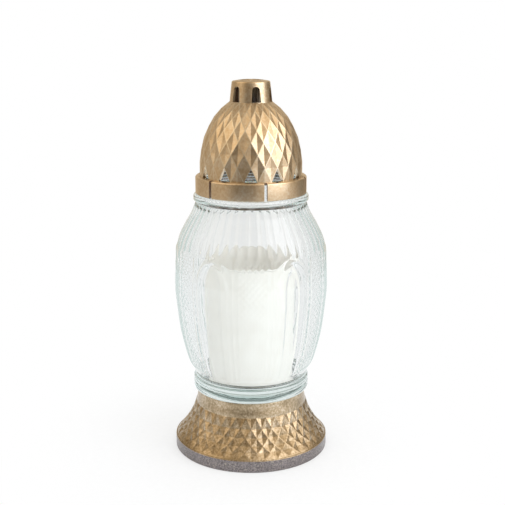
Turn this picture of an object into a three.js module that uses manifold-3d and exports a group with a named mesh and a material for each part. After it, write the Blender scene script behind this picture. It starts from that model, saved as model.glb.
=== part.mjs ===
// Glass grave lantern: a pressed glass jar standing in a flared foot, with a vented lid over its neck
// and a candle refill inside. Millimetres, +Z up, the front is -Y, and the foot stands on z = 0.
import * as THREE from 'three';
import { mergeVertices } from 'three/addons/utils/BufferGeometryUtils.js';
import Module from 'manifold-3d';

const wasm = await Module();
wasm.setup();

// Clearances and rounding shared by all pieces
const SEAT_GAP = 0.3; // between pieces that rest on one another or fit in one another
const CUT_OVERRUN = 1; // how far a cutting tool runs past the face that it opens
const ROUND_SEGMENTS = 54; // flats round a smooth turned piece
const SMALL_SEGMENTS = 24; // flats round the wick, its holder and the stake
const ARC_STEPS = 3; // steps in a rounded edge

// Foot: a flared moulding, open below, with a socket that grips the jar
const FOOT_RADIUS = 49.5;
const FOOT_HEIGHT = 39.7;
const FOOT_RIM_HEIGHT = 8.1;
const FOOT_RIM_ROUND = 0.6;
const FOOT_LIP_RADIUS = 34.6;
const FOOT_LIP_ROUND = 0.6;
const FOOT_WALL = 2;
const FOOT_RELIEF = 1; // how far the middle of a diamond sinks below the net between the diamonds
const FOOT_LAST_ROW_SHARE = 0.6; // of that relief, where the diamonds run out
const FOOT_LEDGE = 0.5; // width of the step between the rim and the diamonds
const FOOT_DIAMONDS = 36; // diamonds in each row round the foot
const FLARE_POWER = 1.95; // how sharply the skirt sweeps out towards the rim
const FOOT_ROW_HEIGHT_SHARES = [0, 0.108, 0.215, 0.348, 0.503, 0.697]; // of the skirt's height
const FOOT_BAND_HEIGHT_SHARES = [0.74, 0.82, 0.9]; // rings of the smooth band above the diamonds
const SOCKET_DEPTH = 2.2;
const SOCKET_FLOOR = 2;

// Jar: pressed glass, with a spigot below the heel and a plain neck above the bead
const JAR_SPIGOT_RADIUS = 32.6;
const JAR_SPIGOT_SLOPE = 3.2; // width of the slope round the spigot's foot
const JAR_SPIGOT_LAND = 0.4; // upright part of the spigot above that slope
const JAR_STANDING_RING = 5; // width of the ring under the jar, outside the hollow of its base
const JAR_PUNT_HEIGHT = 1; // how far the hollow of the base rises
const JAR_HEEL_RADIUS = 37.1;
const JAR_HEEL_HEIGHT = 11.8;
const JAR_HEEL_ROUND = 1.9;
const JAR_GROOVE_RADIUS = 35.9;
const JAR_BULGE_RADIUS = 48.3;
const JAR_BULGE_HEIGHT = 69.4; // above the heel's underside
const JAR_WALL = 3;
const JAR_FLOOR_HEIGHT = 8; // top of the floor above the heel's underside
const JAR_FLOOR_CORNER = 4;
const NECK_GROOVE_RADIUS = 34.7;
const NECK_GROOVE_HEIGHT = 122.7; // above the heel's underside
const NECK_BEAD_RADIUS = 36.2;
const NECK_BEAD_HEIGHT = 4.8; // from the groove to the bead's flat top
const NECK_BEAD_ROUND = 1.5;
const NECK_RADIUS = 32.5;
const NECK_HEIGHT = 9.6; // above the bead
const NECK_BORE_RADIUS = 29.7;
const LIP_ROUND = 1;
// Height and swell from the heel's groove to the bulge, then from the bulge to the neck's groove
const BARREL_LOWER_SHARES = [[0, 0], [0.07, 0.17], [0.193, 0.411], [0.48, 0.742], [0.807, 0.935]];
const BARREL_UPPER_SHARES = [[0, 1], [0.292, 0.955], [0.531, 0.858], [0.708, 0.56], [0.864, 0.216], [1, 0]];
const BARREL_STEPS = 16;
const BARREL_INNER_SHARE = 0.955; // how far up the barrel the inside follows the outside

// Lid: one moulding, with a split collar, a diamond dome, and a slotted turret
const COLLAR_RADIUS = 34.9;
const COLLAR_HEIGHT = 10.9;
const COLLAR_ROUND = 1.1;
const COLLAR_CLEARANCE = 0.4; // between the collar's bore and the jar's neck
const COLLAR_SLIT = 2;
const DOME_RADIUS = 32.1;
const DOME_STRAIGHT = 5.5; // upright part of the dome, below its elliptical part
const DOME_RISE = 44.1; // half height of the dome's ellipse
const DOME_RELIEF = 1.1;
const DOME_LAST_ROW_SHARE = 0.5; // of that relief, under the turret
const DOME_DIAMONDS = 24;
const DOME_ROWS = 7;
const DOME_FIRST_ROW_ANGLE = THREE.MathUtils.degToRad(4.1); // on the ellipse, where the vents end
const DOME_LAST_ROW_ANGLE = THREE.MathUtils.degToRad(64.7); // on the ellipse, where the turret stands
const LID_WALL = 1.5;
const VENTS = 12;
const VENT_MARGIN = 0.2;
const TURRET_BASE_RADIUS = 13.2;
const TURRET_TOP_RADIUS = 11.9;
const TURRET_HEIGHT = 12.9;
const TURRET_EDGE_ROUND = 1;
const CROWN_RISE = 1.1;
const CROWN_STEPS = 4;
const TURRET_SLOTS = 6;
const SLOT_PHASE = THREE.MathUtils.degToRad(15); // turn of the first slot and slit from the front
const SLOT_BASE_WIDTH = 6;
const SLOT_TOP_WIDTH = 4.8;
const SLOT_HEIGHT = 9.4;
const SLOT_CORNER = 1.4;
const SLOT_SILL = 0.4; // height of the slots above the dome
const STAKE_RADIUS = 1.6;
const STAKE_HEAD_RADIUS = 2.8;
const STAKE_HEAD_HEIGHT = 1;

// Heat shield: a tinplate spider staked under the turret's crown
const SHIELD_THICKNESS = 0.4;
const SHIELD_DROP = 1.6; // between the crown's underside and the sheet
const SHIELD_RADIUS = 7.4;
const SHIELD_LEG_WIDTH = 3.4;
const SHIELD_LEG_DEPTH = 15; // from the sheet down to the bend of a leg's foot
const SHIELD_TOE_REACH = 6.4; // how far a leg's foot splays out
const SHIELD_TOE_DROP = 5.2;

// Candle refill: a thin cup of wax with a wick in a tin holder
const CUP_BASE_RADIUS = 27.3;
const CUP_TOP_RADIUS = 28;
const CUP_HEIGHT = 76;
const CUP_WALL = 0.8;
const CUP_LIP_REACH = 0.7;
const CUP_LIP_HEIGHT = 1.2;
const WAX_HEIGHT = 55;
const WAX_DISH = 1.2; // how far the wax sinks towards the wick
const HOLDER_RADIUS = 8.5;
const HOLDER_THICKNESS = 0.5;
const HOLDER_NECK_RADIUS = 2.1;
const HOLDER_NECK_HEIGHT = 6.5;
const WICK_RADIUS = 1.1;
const WICK_PROUD = 7; // how far the wick stands above the wax
const WICK_TIP_ROUND = 0.5;

// Turns the positions of a closed geometry into a solid, dropping the flat triangles left at a pole
function solidOf(geometry) {
  const bare = geometry.clone();
  bare.deleteAttribute('normal');
  bare.deleteAttribute('uv');
  const merged = mergeVertices(bare);
  const order = merged.index.array;
  const corners = [];
  for (let i = 0; i < order.length; i += 3) {
    const [a, b, c] = [order[i], order[i + 1], order[i + 2]];
    if (a !== b && b !== c && c !== a) {
      corners.push(a, b, c);
    }
  }
  const places = new Float32Array(merged.attributes.position.array);
  const mesh = new wasm.Mesh({ numProp: 3, vertProperties: places, triVerts: new Uint32Array(corners) });
  return new wasm.Manifold(mesh);
}

// Turns a solid back into a geometry that a mesh can carry
function geometryOf(solid) {
  const mesh = solid.getMesh();
  const geometry = new THREE.BufferGeometry();
  geometry.setAttribute('position', new THREE.BufferAttribute(new Float32Array(mesh.vertProperties), 3));
  geometry.setIndex(new THREE.BufferAttribute(new Uint32Array(mesh.triVerts), 1));
  geometry.computeVertexNormals();
  return geometry;
}

// Turns a profile round the upright axis. The profile is a list of radius and height, upwards outside.
function turned(profile, segments = ROUND_SEGMENTS) {
  const points = profile.map(([radius, height]) => new THREE.Vector2(radius, height));
  return solidOf(new THREE.LatheGeometry(points, segments).rotateX(Math.PI / 2));
}

// A quarter round between two directions, as a list of radius and height
function quarterRound(centreRadius, centreHeight, round, fromAngle, toAngle) {
  const points = [];
  for (let i = 0; i <= ARC_STEPS; i += 1) {
    const angle = THREE.MathUtils.lerp(fromAngle, toAngle, i / ARC_STEPS);
    points.push([centreRadius + round * Math.cos(angle), centreHeight + round * Math.sin(angle)]);
  }
  return points;
}

// A closed solid of stacked rings. Rings that have a row carry the diamonds: every second point of a
// row is the sunken middle of a diamond, and the facets are split along the raised net.
function ringStack(rings, points, firstMiddle = 0) {
  const inMiddle = (point, row) => (point + row) % 2 === firstMiddle;
  const places = [];
  rings.forEach((ring) => {
    for (let i = 0; i < points; i += 1) {
      const turn = (2 * Math.PI * i) / points;
      const sunk = ring.depth && inMiddle(i, ring.row) ? ring.depth : 0;
      const radius = ring.radius - sunk;
      places.push(radius * Math.sin(turn), -radius * Math.cos(turn), ring.height);
    }
  });
  const bottom = places.length / 3;
  places.push(0, 0, rings[0].height);
  const top = bottom + 1;
  places.push(0, 0, rings[rings.length - 1].height);
  const corners = [];
  for (let i = 0; i < points; i += 1) {
    const next = (i + 1) % points;
    corners.push(bottom, next, i);
    for (let k = 0; k + 1 < rings.length; k += 1) {
      const [a, b] = [k * points + i, k * points + next];
      const [d, c] = [a + points, b + points];
      if (rings[k].row !== undefined && inMiddle(i, rings[k].row)) {
        corners.push(a, b, d, b, c, d);
      } else {
        corners.push(a, b, c, a, c, d);
      }
    }
    const last = (rings.length - 1) * points;
    corners.push(top, last + i, last + next);
  }
  const geometry = new THREE.BufferGeometry();
  geometry.setAttribute('position', new THREE.BufferAttribute(new Float32Array(places), 3));
  geometry.setIndex(corners);
  return solidOf(geometry);
}

// A prism that runs outwards from the axis at the given turn from the front, with its shape upright
function radialPrism(shape, innerRadius, outerRadius, turn) {
  const depth = outerRadius - innerRadius;
  const geometry = new THREE.ExtrudeGeometry(shape, { depth, bevelEnabled: false, curveSegments: 8 });
  return solidOf(geometry.translate(0, 0, innerRadius).rotateX(Math.PI / 2).rotateZ(turn));
}

function makeMesh(name, solid, look) {
  const mesh = new THREE.Mesh(geometryOf(solid), new THREE.MeshStandardMaterial(look));
  mesh.name = name;
  return mesh;
}

const BRASS_LID_LOOK = { color: 0xc2a06a, roughness: 0.42, metalness: 0.9 };
const BRASS_FOOT_LOOK = { color: 0x9c8460, roughness: 0.5, metalness: 0.85 };
const GLASS_LOOK = { color: 0xe6f0ee, roughness: 0.05, metalness: 0, transparent: true, opacity: 0.35 };
const TIN_LOOK = { color: 0xb9bcbe, roughness: 0.35, metalness: 1 };
const CUP_LOOK = { color: 0xf4f1e8, roughness: 0.45, metalness: 0, transparent: true, opacity: 0.6 };
const WAX_LOOK = { color: 0xf6f2e6, roughness: 0.6, metalness: 0 };
const WICK_LOOK = { color: 0xefe9da, roughness: 0.95, metalness: 0 };

// Foot
function skirtRadius(share) {
  return FOOT_LIP_RADIUS + (FOOT_RADIUS - FOOT_RIM_ROUND - FOOT_LIP_RADIUS) * (1 - share) ** FLARE_POWER;
}

function makeFoot() {
  const skirtHeight = FOOT_HEIGHT - FOOT_RIM_HEIGHT;
  const heightAt = (share) => FOOT_RIM_HEIGHT + skirtHeight * share;
  const points = 2 * FOOT_DIAMONDS;
  const rings = [
    { height: 0, radius: FOOT_RADIUS },
    { height: FOOT_RIM_HEIGHT - FOOT_RIM_ROUND, radius: FOOT_RADIUS },
    { height: FOOT_RIM_HEIGHT, radius: skirtRadius(0) },
    { height: FOOT_RIM_HEIGHT, radius: skirtRadius(0) - FOOT_LEDGE, row: 0 },
  ];
  const lastRow = FOOT_ROW_HEIGHT_SHARES.length - 1;
  for (let row = 1; row <= lastRow; row += 1) {
    const share = FOOT_ROW_HEIGHT_SHARES[row];
    const depth = FOOT_RELIEF * (row < lastRow ? 1 : FOOT_LAST_ROW_SHARE);
    rings.push({ height: heightAt(share), radius: skirtRadius(share), row, depth });
  }
  FOOT_BAND_HEIGHT_SHARES.forEach((share) => {
    rings.push({ height: heightAt(share), radius: skirtRadius(share) });
  });
  rings.push({ height: FOOT_HEIGHT - FOOT_LIP_ROUND, radius: FOOT_LIP_RADIUS });
  rings.push({ height: FOOT_HEIGHT, radius: FOOT_LIP_RADIUS - FOOT_LIP_ROUND });
  const outside = ringStack(rings, points, 1);

  // Hollow under the skirt, which follows the outside one wall further in
  const hollowTop = FOOT_HEIGHT - SOCKET_DEPTH - SOCKET_FLOOR;
  const inset = FOOT_RELIEF + FOOT_WALL;
  const hollow = [
    { height: -CUT_OVERRUN, radius: FOOT_RADIUS - inset },
    { height: FOOT_RIM_HEIGHT - FOOT_WALL, radius: FOOT_RADIUS - inset },
  ];
  for (let row = 1; row <= lastRow; row += 1) {
    const share = FOOT_ROW_HEIGHT_SHARES[row];
    const height = heightAt(share) - FOOT_WALL;
    hollow.push({ height: Math.min(height, hollowTop), radius: skirtRadius(share) - inset });
  }
  hollow.push({ height: hollowTop, radius: skirtRadius(1) - inset });
  const socketRadius = JAR_SPIGOT_RADIUS + SEAT_GAP;
  const socket = turned([
    [0, FOOT_HEIGHT - SOCKET_DEPTH],
    [socketRadius, FOOT_HEIGHT - SOCKET_DEPTH],
    [socketRadius, FOOT_HEIGHT + CUT_OVERRUN],
    [0, FOOT_HEIGHT + CUT_OVERRUN],
  ]);
  const skirt = outside.subtract(ringStack(hollow, points)).subtract(socket);
  return makeMesh('foot', skirt, BRASS_FOOT_LOOK);
}

// Glass jar, with its heel's underside at z = 0
function barrelOutline() {
  const lower = BARREL_LOWER_SHARES.map(([rise, swell]) => new THREE.Vector2(
    THREE.MathUtils.lerp(JAR_GROOVE_RADIUS, JAR_BULGE_RADIUS, swell),
    THREE.MathUtils.lerp(JAR_HEEL_HEIGHT, JAR_BULGE_HEIGHT, rise),
  ));
  const upper = BARREL_UPPER_SHARES.map(([rise, swell]) => new THREE.Vector2(
    THREE.MathUtils.lerp(NECK_GROOVE_RADIUS, JAR_BULGE_RADIUS, swell),
    THREE.MathUtils.lerp(JAR_BULGE_HEIGHT, NECK_GROOVE_HEIGHT, rise),
  ));
  return new THREE.SplineCurve([...lower, ...upper]);
}

function makeJar() {
  const barrel = barrelOutline().getPoints(BARREL_STEPS);
  const beadTop = NECK_GROOVE_HEIGHT + NECK_BEAD_HEIGHT;
  const neckTop = beadTop + NECK_HEIGHT;
  const ringInside = JAR_SPIGOT_RADIUS - JAR_STANDING_RING;
  const quarter = Math.PI / 2;
  const heelCentre = JAR_HEEL_RADIUS - JAR_HEEL_ROUND;
  const heelShoulder = JAR_HEEL_HEIGHT - 2 * JAR_HEEL_ROUND;
  const beadCentre = NECK_BEAD_RADIUS - NECK_BEAD_ROUND;
  const outside = [
    [0, JAR_PUNT_HEIGHT - SOCKET_DEPTH],
    [ringInside * Math.cos(quarter / 2), JAR_PUNT_HEIGHT * Math.sin(quarter / 2) - SOCKET_DEPTH],
    [ringInside, -SOCKET_DEPTH],
    [JAR_SPIGOT_RADIUS - JAR_SPIGOT_SLOPE, -SOCKET_DEPTH],
    [JAR_SPIGOT_RADIUS, -JAR_SPIGOT_LAND],
    [JAR_SPIGOT_RADIUS, 0],
    ...quarterRound(heelCentre, JAR_HEEL_ROUND, JAR_HEEL_ROUND, -quarter, 0),
    ...quarterRound(heelCentre, heelShoulder, JAR_HEEL_ROUND, 0, quarter / 2),
    ...barrel.map((point) => [point.x, point.y]),
    [beadCentre, beadTop - 2 * NECK_BEAD_ROUND],
    ...quarterRound(beadCentre, beadTop - NECK_BEAD_ROUND, NECK_BEAD_ROUND, -quarter / 2, quarter),
    [NECK_RADIUS, beadTop],
    [NECK_RADIUS, neckTop - LIP_ROUND],
    ...quarterRound(NECK_RADIUS - LIP_ROUND, neckTop - LIP_ROUND, LIP_ROUND, quarter / 2, quarter),
    ...quarterRound(NECK_BORE_RADIUS + LIP_ROUND, neckTop - LIP_ROUND, LIP_ROUND, quarter, 2 * quarter),
    [NECK_BORE_RADIUS, NECK_GROOVE_HEIGHT],
  ];
  const innerTop = THREE.MathUtils.lerp(JAR_BULGE_HEIGHT, NECK_GROOVE_HEIGHT, BARREL_INNER_SHARE);
  const floorEdge = JAR_FLOOR_HEIGHT + JAR_FLOOR_CORNER;
  const inside = barrel
    .filter((point) => point.y > floorEdge + JAR_WALL && point.y < innerTop - JAR_WALL)
    .map((point) => [point.x - JAR_WALL, point.y])
    .reverse();
  const cornerRadius = JAR_GROOVE_RADIUS - JAR_WALL - JAR_FLOOR_CORNER;
  const floor = quarterRound(cornerRadius, floorEdge, JAR_FLOOR_CORNER, 0, -quarter);
  const jar = turned([...outside, ...inside, ...floor, [0, JAR_FLOOR_HEIGHT]]);
  return makeMesh('glass_jar', jar, GLASS_LOOK);
}

// Candle refill, with the cup's underside at z = 0
const CUP_FLOOR = CUP_WALL;
const WAX_BASE = CUP_FLOOR + SEAT_GAP;
const WAX_TOP = WAX_BASE + WAX_HEIGHT;

function cupInnerRadius(height) {
  return THREE.MathUtils.lerp(CUP_BASE_RADIUS, CUP_TOP_RADIUS, height / CUP_HEIGHT) - CUP_WALL;
}

function makeCup() {
  const cup = turned([
    [0, 0],
    [CUP_BASE_RADIUS - CUP_WALL, 0],
    [CUP_BASE_RADIUS, CUP_WALL],
    [CUP_TOP_RADIUS, CUP_HEIGHT - CUP_LIP_HEIGHT],
    [CUP_TOP_RADIUS + CUP_LIP_REACH, CUP_HEIGHT - CUP_LIP_HEIGHT],
    [CUP_TOP_RADIUS + CUP_LIP_REACH, CUP_HEIGHT],
    [cupInnerRadius(CUP_HEIGHT), CUP_HEIGHT],
    [cupInnerRadius(CUP_FLOOR), CUP_FLOOR],
    [0, CUP_FLOOR],
  ]);
  return makeMesh('candle_cup', cup, CUP_LOOK);
}

function makeWax() {
  const holderTop = WAX_BASE + HOLDER_THICKNESS;
  const neckTop = holderTop + HOLDER_NECK_HEIGHT;
  const boreRadius = WICK_RADIUS + SEAT_GAP;
  const block = turned([
    [0, WAX_BASE],
    [cupInnerRadius(WAX_BASE) - SEAT_GAP, WAX_BASE],
    [cupInnerRadius(WAX_TOP) - SEAT_GAP, WAX_TOP],
    [cupInnerRadius(WAX_TOP) - SEAT_GAP - WAX_DISH, WAX_TOP - WAX_DISH / 2],
    [cupInnerRadius(WAX_TOP) / 2, WAX_TOP - WAX_DISH],
    [0, WAX_TOP - WAX_DISH],
  ]);
  const pocket = turned([
    [0, WAX_BASE - CUT_OVERRUN],
    [HOLDER_RADIUS + SEAT_GAP, WAX_BASE - CUT_OVERRUN],
    [HOLDER_RADIUS + SEAT_GAP, holderTop + SEAT_GAP],
    [HOLDER_NECK_RADIUS + SEAT_GAP, holderTop + SEAT_GAP],
    [HOLDER_NECK_RADIUS + SEAT_GAP, neckTop + SEAT_GAP],
    [boreRadius, neckTop + SEAT_GAP],
    [boreRadius, WAX_TOP + CUT_OVERRUN],
    [0, WAX_TOP + CUT_OVERRUN],
  ], SMALL_SEGMENTS);
  return makeMesh('candle_wax', block.subtract(pocket), WAX_LOOK);
}

function makeHolder() {
  const holderTop = WAX_BASE + HOLDER_THICKNESS;
  const neckTop = holderTop + HOLDER_NECK_HEIGHT;
  const boreRadius = WICK_RADIUS + SEAT_GAP;
  const holder = turned([
    [0, WAX_BASE],
    [HOLDER_RADIUS, WAX_BASE],
    [HOLDER_RADIUS, holderTop],
    [HOLDER_NECK_RADIUS, holderTop],
    [HOLDER_NECK_RADIUS, neckTop],
    [boreRadius, neckTop],
    [boreRadius, holderTop],
    [0, holderTop],
  ], SMALL_SEGMENTS);
  return makeMesh('wick_holder', holder, TIN_LOOK);
}

function makeWick() {
  const base = WAX_BASE + HOLDER_THICKNESS + SEAT_GAP;
  const tip = WAX_TOP + WICK_PROUD;
  const wick = turned([
    [0, base],
    [WICK_RADIUS, base],
    [WICK_RADIUS, tip - WICK_TIP_ROUND],
    [WICK_RADIUS - WICK_TIP_ROUND, tip],
    [0, tip],
  ], SMALL_SEGMENTS);
  return makeMesh('wick', wick, WICK_LOOK);
}

// Lid, with the collar's lower edge at z = 0
const DOME_CENTRE = COLLAR_HEIGHT + DOME_STRAIGHT;
const TURRET_BASE = DOME_CENTRE + DOME_RISE * Math.sin(DOME_LAST_ROW_ANGLE);
const TURRET_EDGE = TURRET_BASE + TURRET_HEIGHT;
const CROWN_UNDERSIDE = TURRET_EDGE - LID_WALL;

function domeAngle(row) {
  const share = (row - 1) / (DOME_ROWS - 1);
  return THREE.MathUtils.lerp(DOME_FIRST_ROW_ANGLE, DOME_LAST_ROW_ANGLE, share);
}

function turretRadius(height) {
  const share = (height - TURRET_BASE) / TURRET_HEIGHT;
  return THREE.MathUtils.lerp(TURRET_BASE_RADIUS, TURRET_TOP_RADIUS, share);
}

function lidOutside() {
  const quarter = Math.PI / 2;
  const shoulderRadius = COLLAR_RADIUS - COLLAR_ROUND;
  const shoulderHeight = COLLAR_HEIGHT - COLLAR_ROUND;
  const shoulder = quarterRound(shoulderRadius, shoulderHeight, COLLAR_ROUND, 0, quarter);
  const rings = [
    { height: 0, radius: COLLAR_RADIUS },
    ...shoulder.map(([radius, height]) => ({ height, radius })),
    { height: COLLAR_HEIGHT, radius: DOME_RADIUS, row: 0 },
  ];
  for (let row = 1; row <= DOME_ROWS; row += 1) {
    const angle = domeAngle(row);
    const height = DOME_CENTRE + DOME_RISE * Math.sin(angle);
    const depth = DOME_RELIEF * (row < DOME_ROWS ? 1 : DOME_LAST_ROW_SHARE);
    rings.push({ height, radius: DOME_RADIUS * Math.cos(angle), row, depth });
  }
  rings.push({ height: TURRET_BASE, radius: TURRET_BASE_RADIUS });
  rings.push({ height: TURRET_EDGE - TURRET_EDGE_ROUND, radius: TURRET_TOP_RADIUS });
  const crownRadius = TURRET_TOP_RADIUS - TURRET_EDGE_ROUND;
  for (let i = 0; i < CROWN_STEPS; i += 1) {
    const angle = (quarter * i) / CROWN_STEPS;
    const height = TURRET_EDGE + CROWN_RISE * Math.sin(angle);
    rings.push({ height, radius: crownRadius * Math.cos(angle) });
  }
  return ringStack(rings, 2 * DOME_DIAMONDS);
}

function lidHollow() {
  const inset = DOME_RELIEF + LID_WALL;
  const webUnderside = NECK_HEIGHT;
  const boreRadius = NECK_RADIUS + COLLAR_CLEARANCE;
  const bore = turned([
    [0, -CUT_OVERRUN],
    [boreRadius, -CUT_OVERRUN],
    [boreRadius, webUnderside],
    [0, webUnderside],
  ], 2 * DOME_DIAMONDS);
  const wallRadius = DOME_RADIUS - inset;
  const outline = [
    [0, webUnderside - CUT_OVERRUN],
    [wallRadius, webUnderside - CUT_OVERRUN],
    [wallRadius, DOME_CENTRE],
  ];
  for (let row = 2; row < DOME_ROWS; row += 1) {
    const angle = domeAngle(row);
    outline.push([wallRadius * Math.cos(angle), DOME_CENTRE + (DOME_RISE - inset) * Math.sin(angle)]);
  }
  const throat = TURRET_BASE - inset;
  outline.push([turretRadius(TURRET_BASE) - LID_WALL, throat]);
  outline.push([turretRadius(CROWN_UNDERSIDE) - LID_WALL, CROWN_UNDERSIDE]);
  outline.push([0, CROWN_UNDERSIDE]);
  return bore.add(turned(outline, 2 * DOME_DIAMONDS));
}

function ventShape() {
  const firstRow = DOME_CENTRE + DOME_RISE * Math.sin(DOME_FIRST_ROW_ANGLE);
  const halfWidth = DOME_RADIUS * Math.sin(Math.PI / DOME_DIAMONDS) - VENT_MARGIN;
  const shape = new THREE.Shape();
  shape.moveTo(-halfWidth, COLLAR_HEIGHT);
  shape.lineTo(halfWidth, COLLAR_HEIGHT);
  shape.lineTo(0, firstRow - VENT_MARGIN);
  return shape;
}

function slotShape() {
  const sill = TURRET_BASE + SLOT_SILL;
  const cornerSide = SLOT_TOP_WIDTH / 2 - SLOT_CORNER;
  const cornerHeight = sill + SLOT_HEIGHT - SLOT_CORNER;
  const shape = new THREE.Shape();
  shape.moveTo(-SLOT_BASE_WIDTH / 2, sill);
  shape.lineTo(SLOT_BASE_WIDTH / 2, sill);
  shape.absarc(cornerSide, cornerHeight, SLOT_CORNER, 0, Math.PI / 2, false);
  shape.absarc(-cornerSide, cornerHeight, SLOT_CORNER, Math.PI / 2, Math.PI, false);
  return shape;
}

function slitShape() {
  const shape = new THREE.Shape();
  shape.moveTo(-COLLAR_SLIT / 2, -CUT_OVERRUN);
  shape.lineTo(COLLAR_SLIT / 2, -CUT_OVERRUN);
  shape.lineTo(COLLAR_SLIT / 2, COLLAR_HEIGHT + CUT_OVERRUN);
  shape.lineTo(-COLLAR_SLIT / 2, COLLAR_HEIGHT + CUT_OVERRUN);
  return shape;
}

// The stake starts inside the crown and is melted over below the heat shield
function shieldStake() {
  const headTop = CROWN_UNDERSIDE - SHIELD_DROP - SHIELD_THICKNESS - SEAT_GAP;
  return turned([
    [0, headTop - STAKE_HEAD_HEIGHT],
    [STAKE_HEAD_RADIUS, headTop - STAKE_HEAD_HEIGHT / 2],
    [STAKE_HEAD_RADIUS, headTop],
    [STAKE_RADIUS, headTop],
    [STAKE_RADIUS, CROWN_UNDERSIDE + LID_WALL / 2],
    [0, CROWN_UNDERSIDE + LID_WALL / 2],
  ], SMALL_SEGMENTS);
}

function makeLid() {
  let lid = lidOutside().subtract(lidHollow());
  for (let i = 0; i < VENTS; i += 1) {
    const turn = (2 * Math.PI * i) / VENTS;
    lid = lid.subtract(radialPrism(ventShape(), NECK_BORE_RADIUS - LID_WALL, COLLAR_RADIUS, turn));
  }
  for (let i = 0; i < TURRET_SLOTS; i += 1) {
    const turn = SLOT_PHASE + (2 * Math.PI * i) / TURRET_SLOTS;
    lid = lid.subtract(radialPrism(slotShape(), SHIELD_RADIUS, TURRET_BASE_RADIUS + CUT_OVERRUN, turn));
    lid = lid.subtract(radialPrism(slitShape(), NECK_RADIUS, COLLAR_RADIUS + CUT_OVERRUN, turn));
  }
  return makeMesh('lid_shell', lid.add(shieldStake()), BRASS_LID_LOOK);
}

// One leg of the shield, from the sheet's edge down the turret and out along the dome
function makeLeg(turn) {
  const sheetTop = CROWN_UNDERSIDE - SHIELD_DROP;
  const sheetUnder = sheetTop - SHIELD_THICKNESS;
  const inner = SHIELD_RADIUS - SHIELD_THICKNESS;
  const bend = sheetTop - SHIELD_LEG_DEPTH;
  const strip = new THREE.Shape();
  strip.moveTo(inner / 2, sheetUnder);
  strip.lineTo(inner, sheetUnder);
  strip.lineTo(inner, bend);
  strip.lineTo(inner + SHIELD_TOE_REACH, bend - SHIELD_TOE_DROP);
  strip.lineTo(SHIELD_RADIUS + SHIELD_TOE_REACH, bend - SHIELD_TOE_DROP + SHIELD_THICKNESS);
  strip.lineTo(SHIELD_RADIUS, bend + SHIELD_THICKNESS);
  strip.lineTo(SHIELD_RADIUS, sheetTop);
  strip.lineTo(inner / 2, sheetTop);
  const geometry = new THREE.ExtrudeGeometry(strip, { depth: SHIELD_LEG_WIDTH, bevelEnabled: false });
  geometry.translate(0, 0, -SHIELD_LEG_WIDTH / 2).rotateX(Math.PI / 2).rotateZ(turn - Math.PI / 2);
  return solidOf(geometry);
}

function makeShield() {
  const sheetTop = CROWN_UNDERSIDE - SHIELD_DROP;
  let shield = turned([
    [0, sheetTop - SHIELD_THICKNESS],
    [SHIELD_RADIUS, sheetTop - SHIELD_THICKNESS],
    [SHIELD_RADIUS, sheetTop],
    [0, sheetTop],
  ], SMALL_SEGMENTS);
  for (let i = 0; i < TURRET_SLOTS; i += 1) {
    shield = shield.add(makeLeg(SLOT_PHASE + (2 * Math.PI * (i + 1 / 2)) / TURRET_SLOTS));
  }
  const holeRadius = STAKE_RADIUS + SEAT_GAP;
  const hole = turned([
    [0, sheetTop - SHIELD_THICKNESS - CUT_OVERRUN],
    [holeRadius, sheetTop - SHIELD_THICKNESS - CUT_OVERRUN],
    [holeRadius, sheetTop + CUT_OVERRUN],
    [0, sheetTop + CUT_OVERRUN],
  ], SMALL_SEGMENTS);
  return makeMesh('heat_shield', shield.subtract(hole), TIN_LOOK);
}

// The lantern put together
const candle = new THREE.Group();
candle.add(makeCup(), makeWax(), makeHolder(), makeWick());
candle.position.z = JAR_FLOOR_HEIGHT + SEAT_GAP;

const lid = new THREE.Group();
lid.add(makeLid(), makeShield());
lid.position.z = NECK_GROOVE_HEIGHT + NECK_BEAD_HEIGHT + SEAT_GAP;

const jar = new THREE.Group();
jar.add(makeJar(), candle, lid);
jar.position.z = FOOT_HEIGHT + SEAT_GAP;

const lantern = new THREE.Group();
lantern.add(makeFoot(), jar);

export default lantern;
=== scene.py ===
import bisect
import math

import bmesh
import bpy
from mathutils import Matrix, Vector


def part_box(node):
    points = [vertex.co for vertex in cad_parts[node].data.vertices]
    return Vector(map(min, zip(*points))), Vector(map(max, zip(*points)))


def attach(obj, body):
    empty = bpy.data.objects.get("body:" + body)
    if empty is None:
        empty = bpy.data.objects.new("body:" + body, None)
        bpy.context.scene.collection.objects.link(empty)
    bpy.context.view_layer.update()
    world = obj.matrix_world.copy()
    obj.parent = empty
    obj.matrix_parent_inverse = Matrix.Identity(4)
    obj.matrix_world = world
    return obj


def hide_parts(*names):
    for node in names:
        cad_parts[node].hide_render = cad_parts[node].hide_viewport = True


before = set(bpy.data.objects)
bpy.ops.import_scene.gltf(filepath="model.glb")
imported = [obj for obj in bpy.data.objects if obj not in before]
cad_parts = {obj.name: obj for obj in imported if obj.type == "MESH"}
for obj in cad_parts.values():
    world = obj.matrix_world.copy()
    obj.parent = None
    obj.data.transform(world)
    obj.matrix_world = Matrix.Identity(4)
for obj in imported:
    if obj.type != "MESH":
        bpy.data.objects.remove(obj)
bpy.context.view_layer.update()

# Foot. One flared moulding in polystyrene, open below, with a socket on top that grips the jar.
# It is injection moulded with rings of diamonds, then metallised in a vacuum and lacquered to the
# tone of old brass. Lengths are millimetres up to the table, and put_together makes them metres.
MM = 0.001
foot_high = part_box("foot")[1]
FOOT_RADIUS = foot_high.x / MM
FOOT_HEIGHT = foot_high.z / MM
FOOT_RIM_HEIGHT = 8.1
FOOT_RIM_ROUND = 0.6
FOOT_LIP_RADIUS = 34.6
FOOT_LIP_ROUND = 0.6
FOOT_WALL = 2.0
FOOT_RELIEF = 1.0
FOOT_LAST_ROW_SHARE = 0.6
FOOT_LEDGE = 0.15
FOOT_DIAMONDS = 36
FLARE_POWER = 1.95
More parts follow.
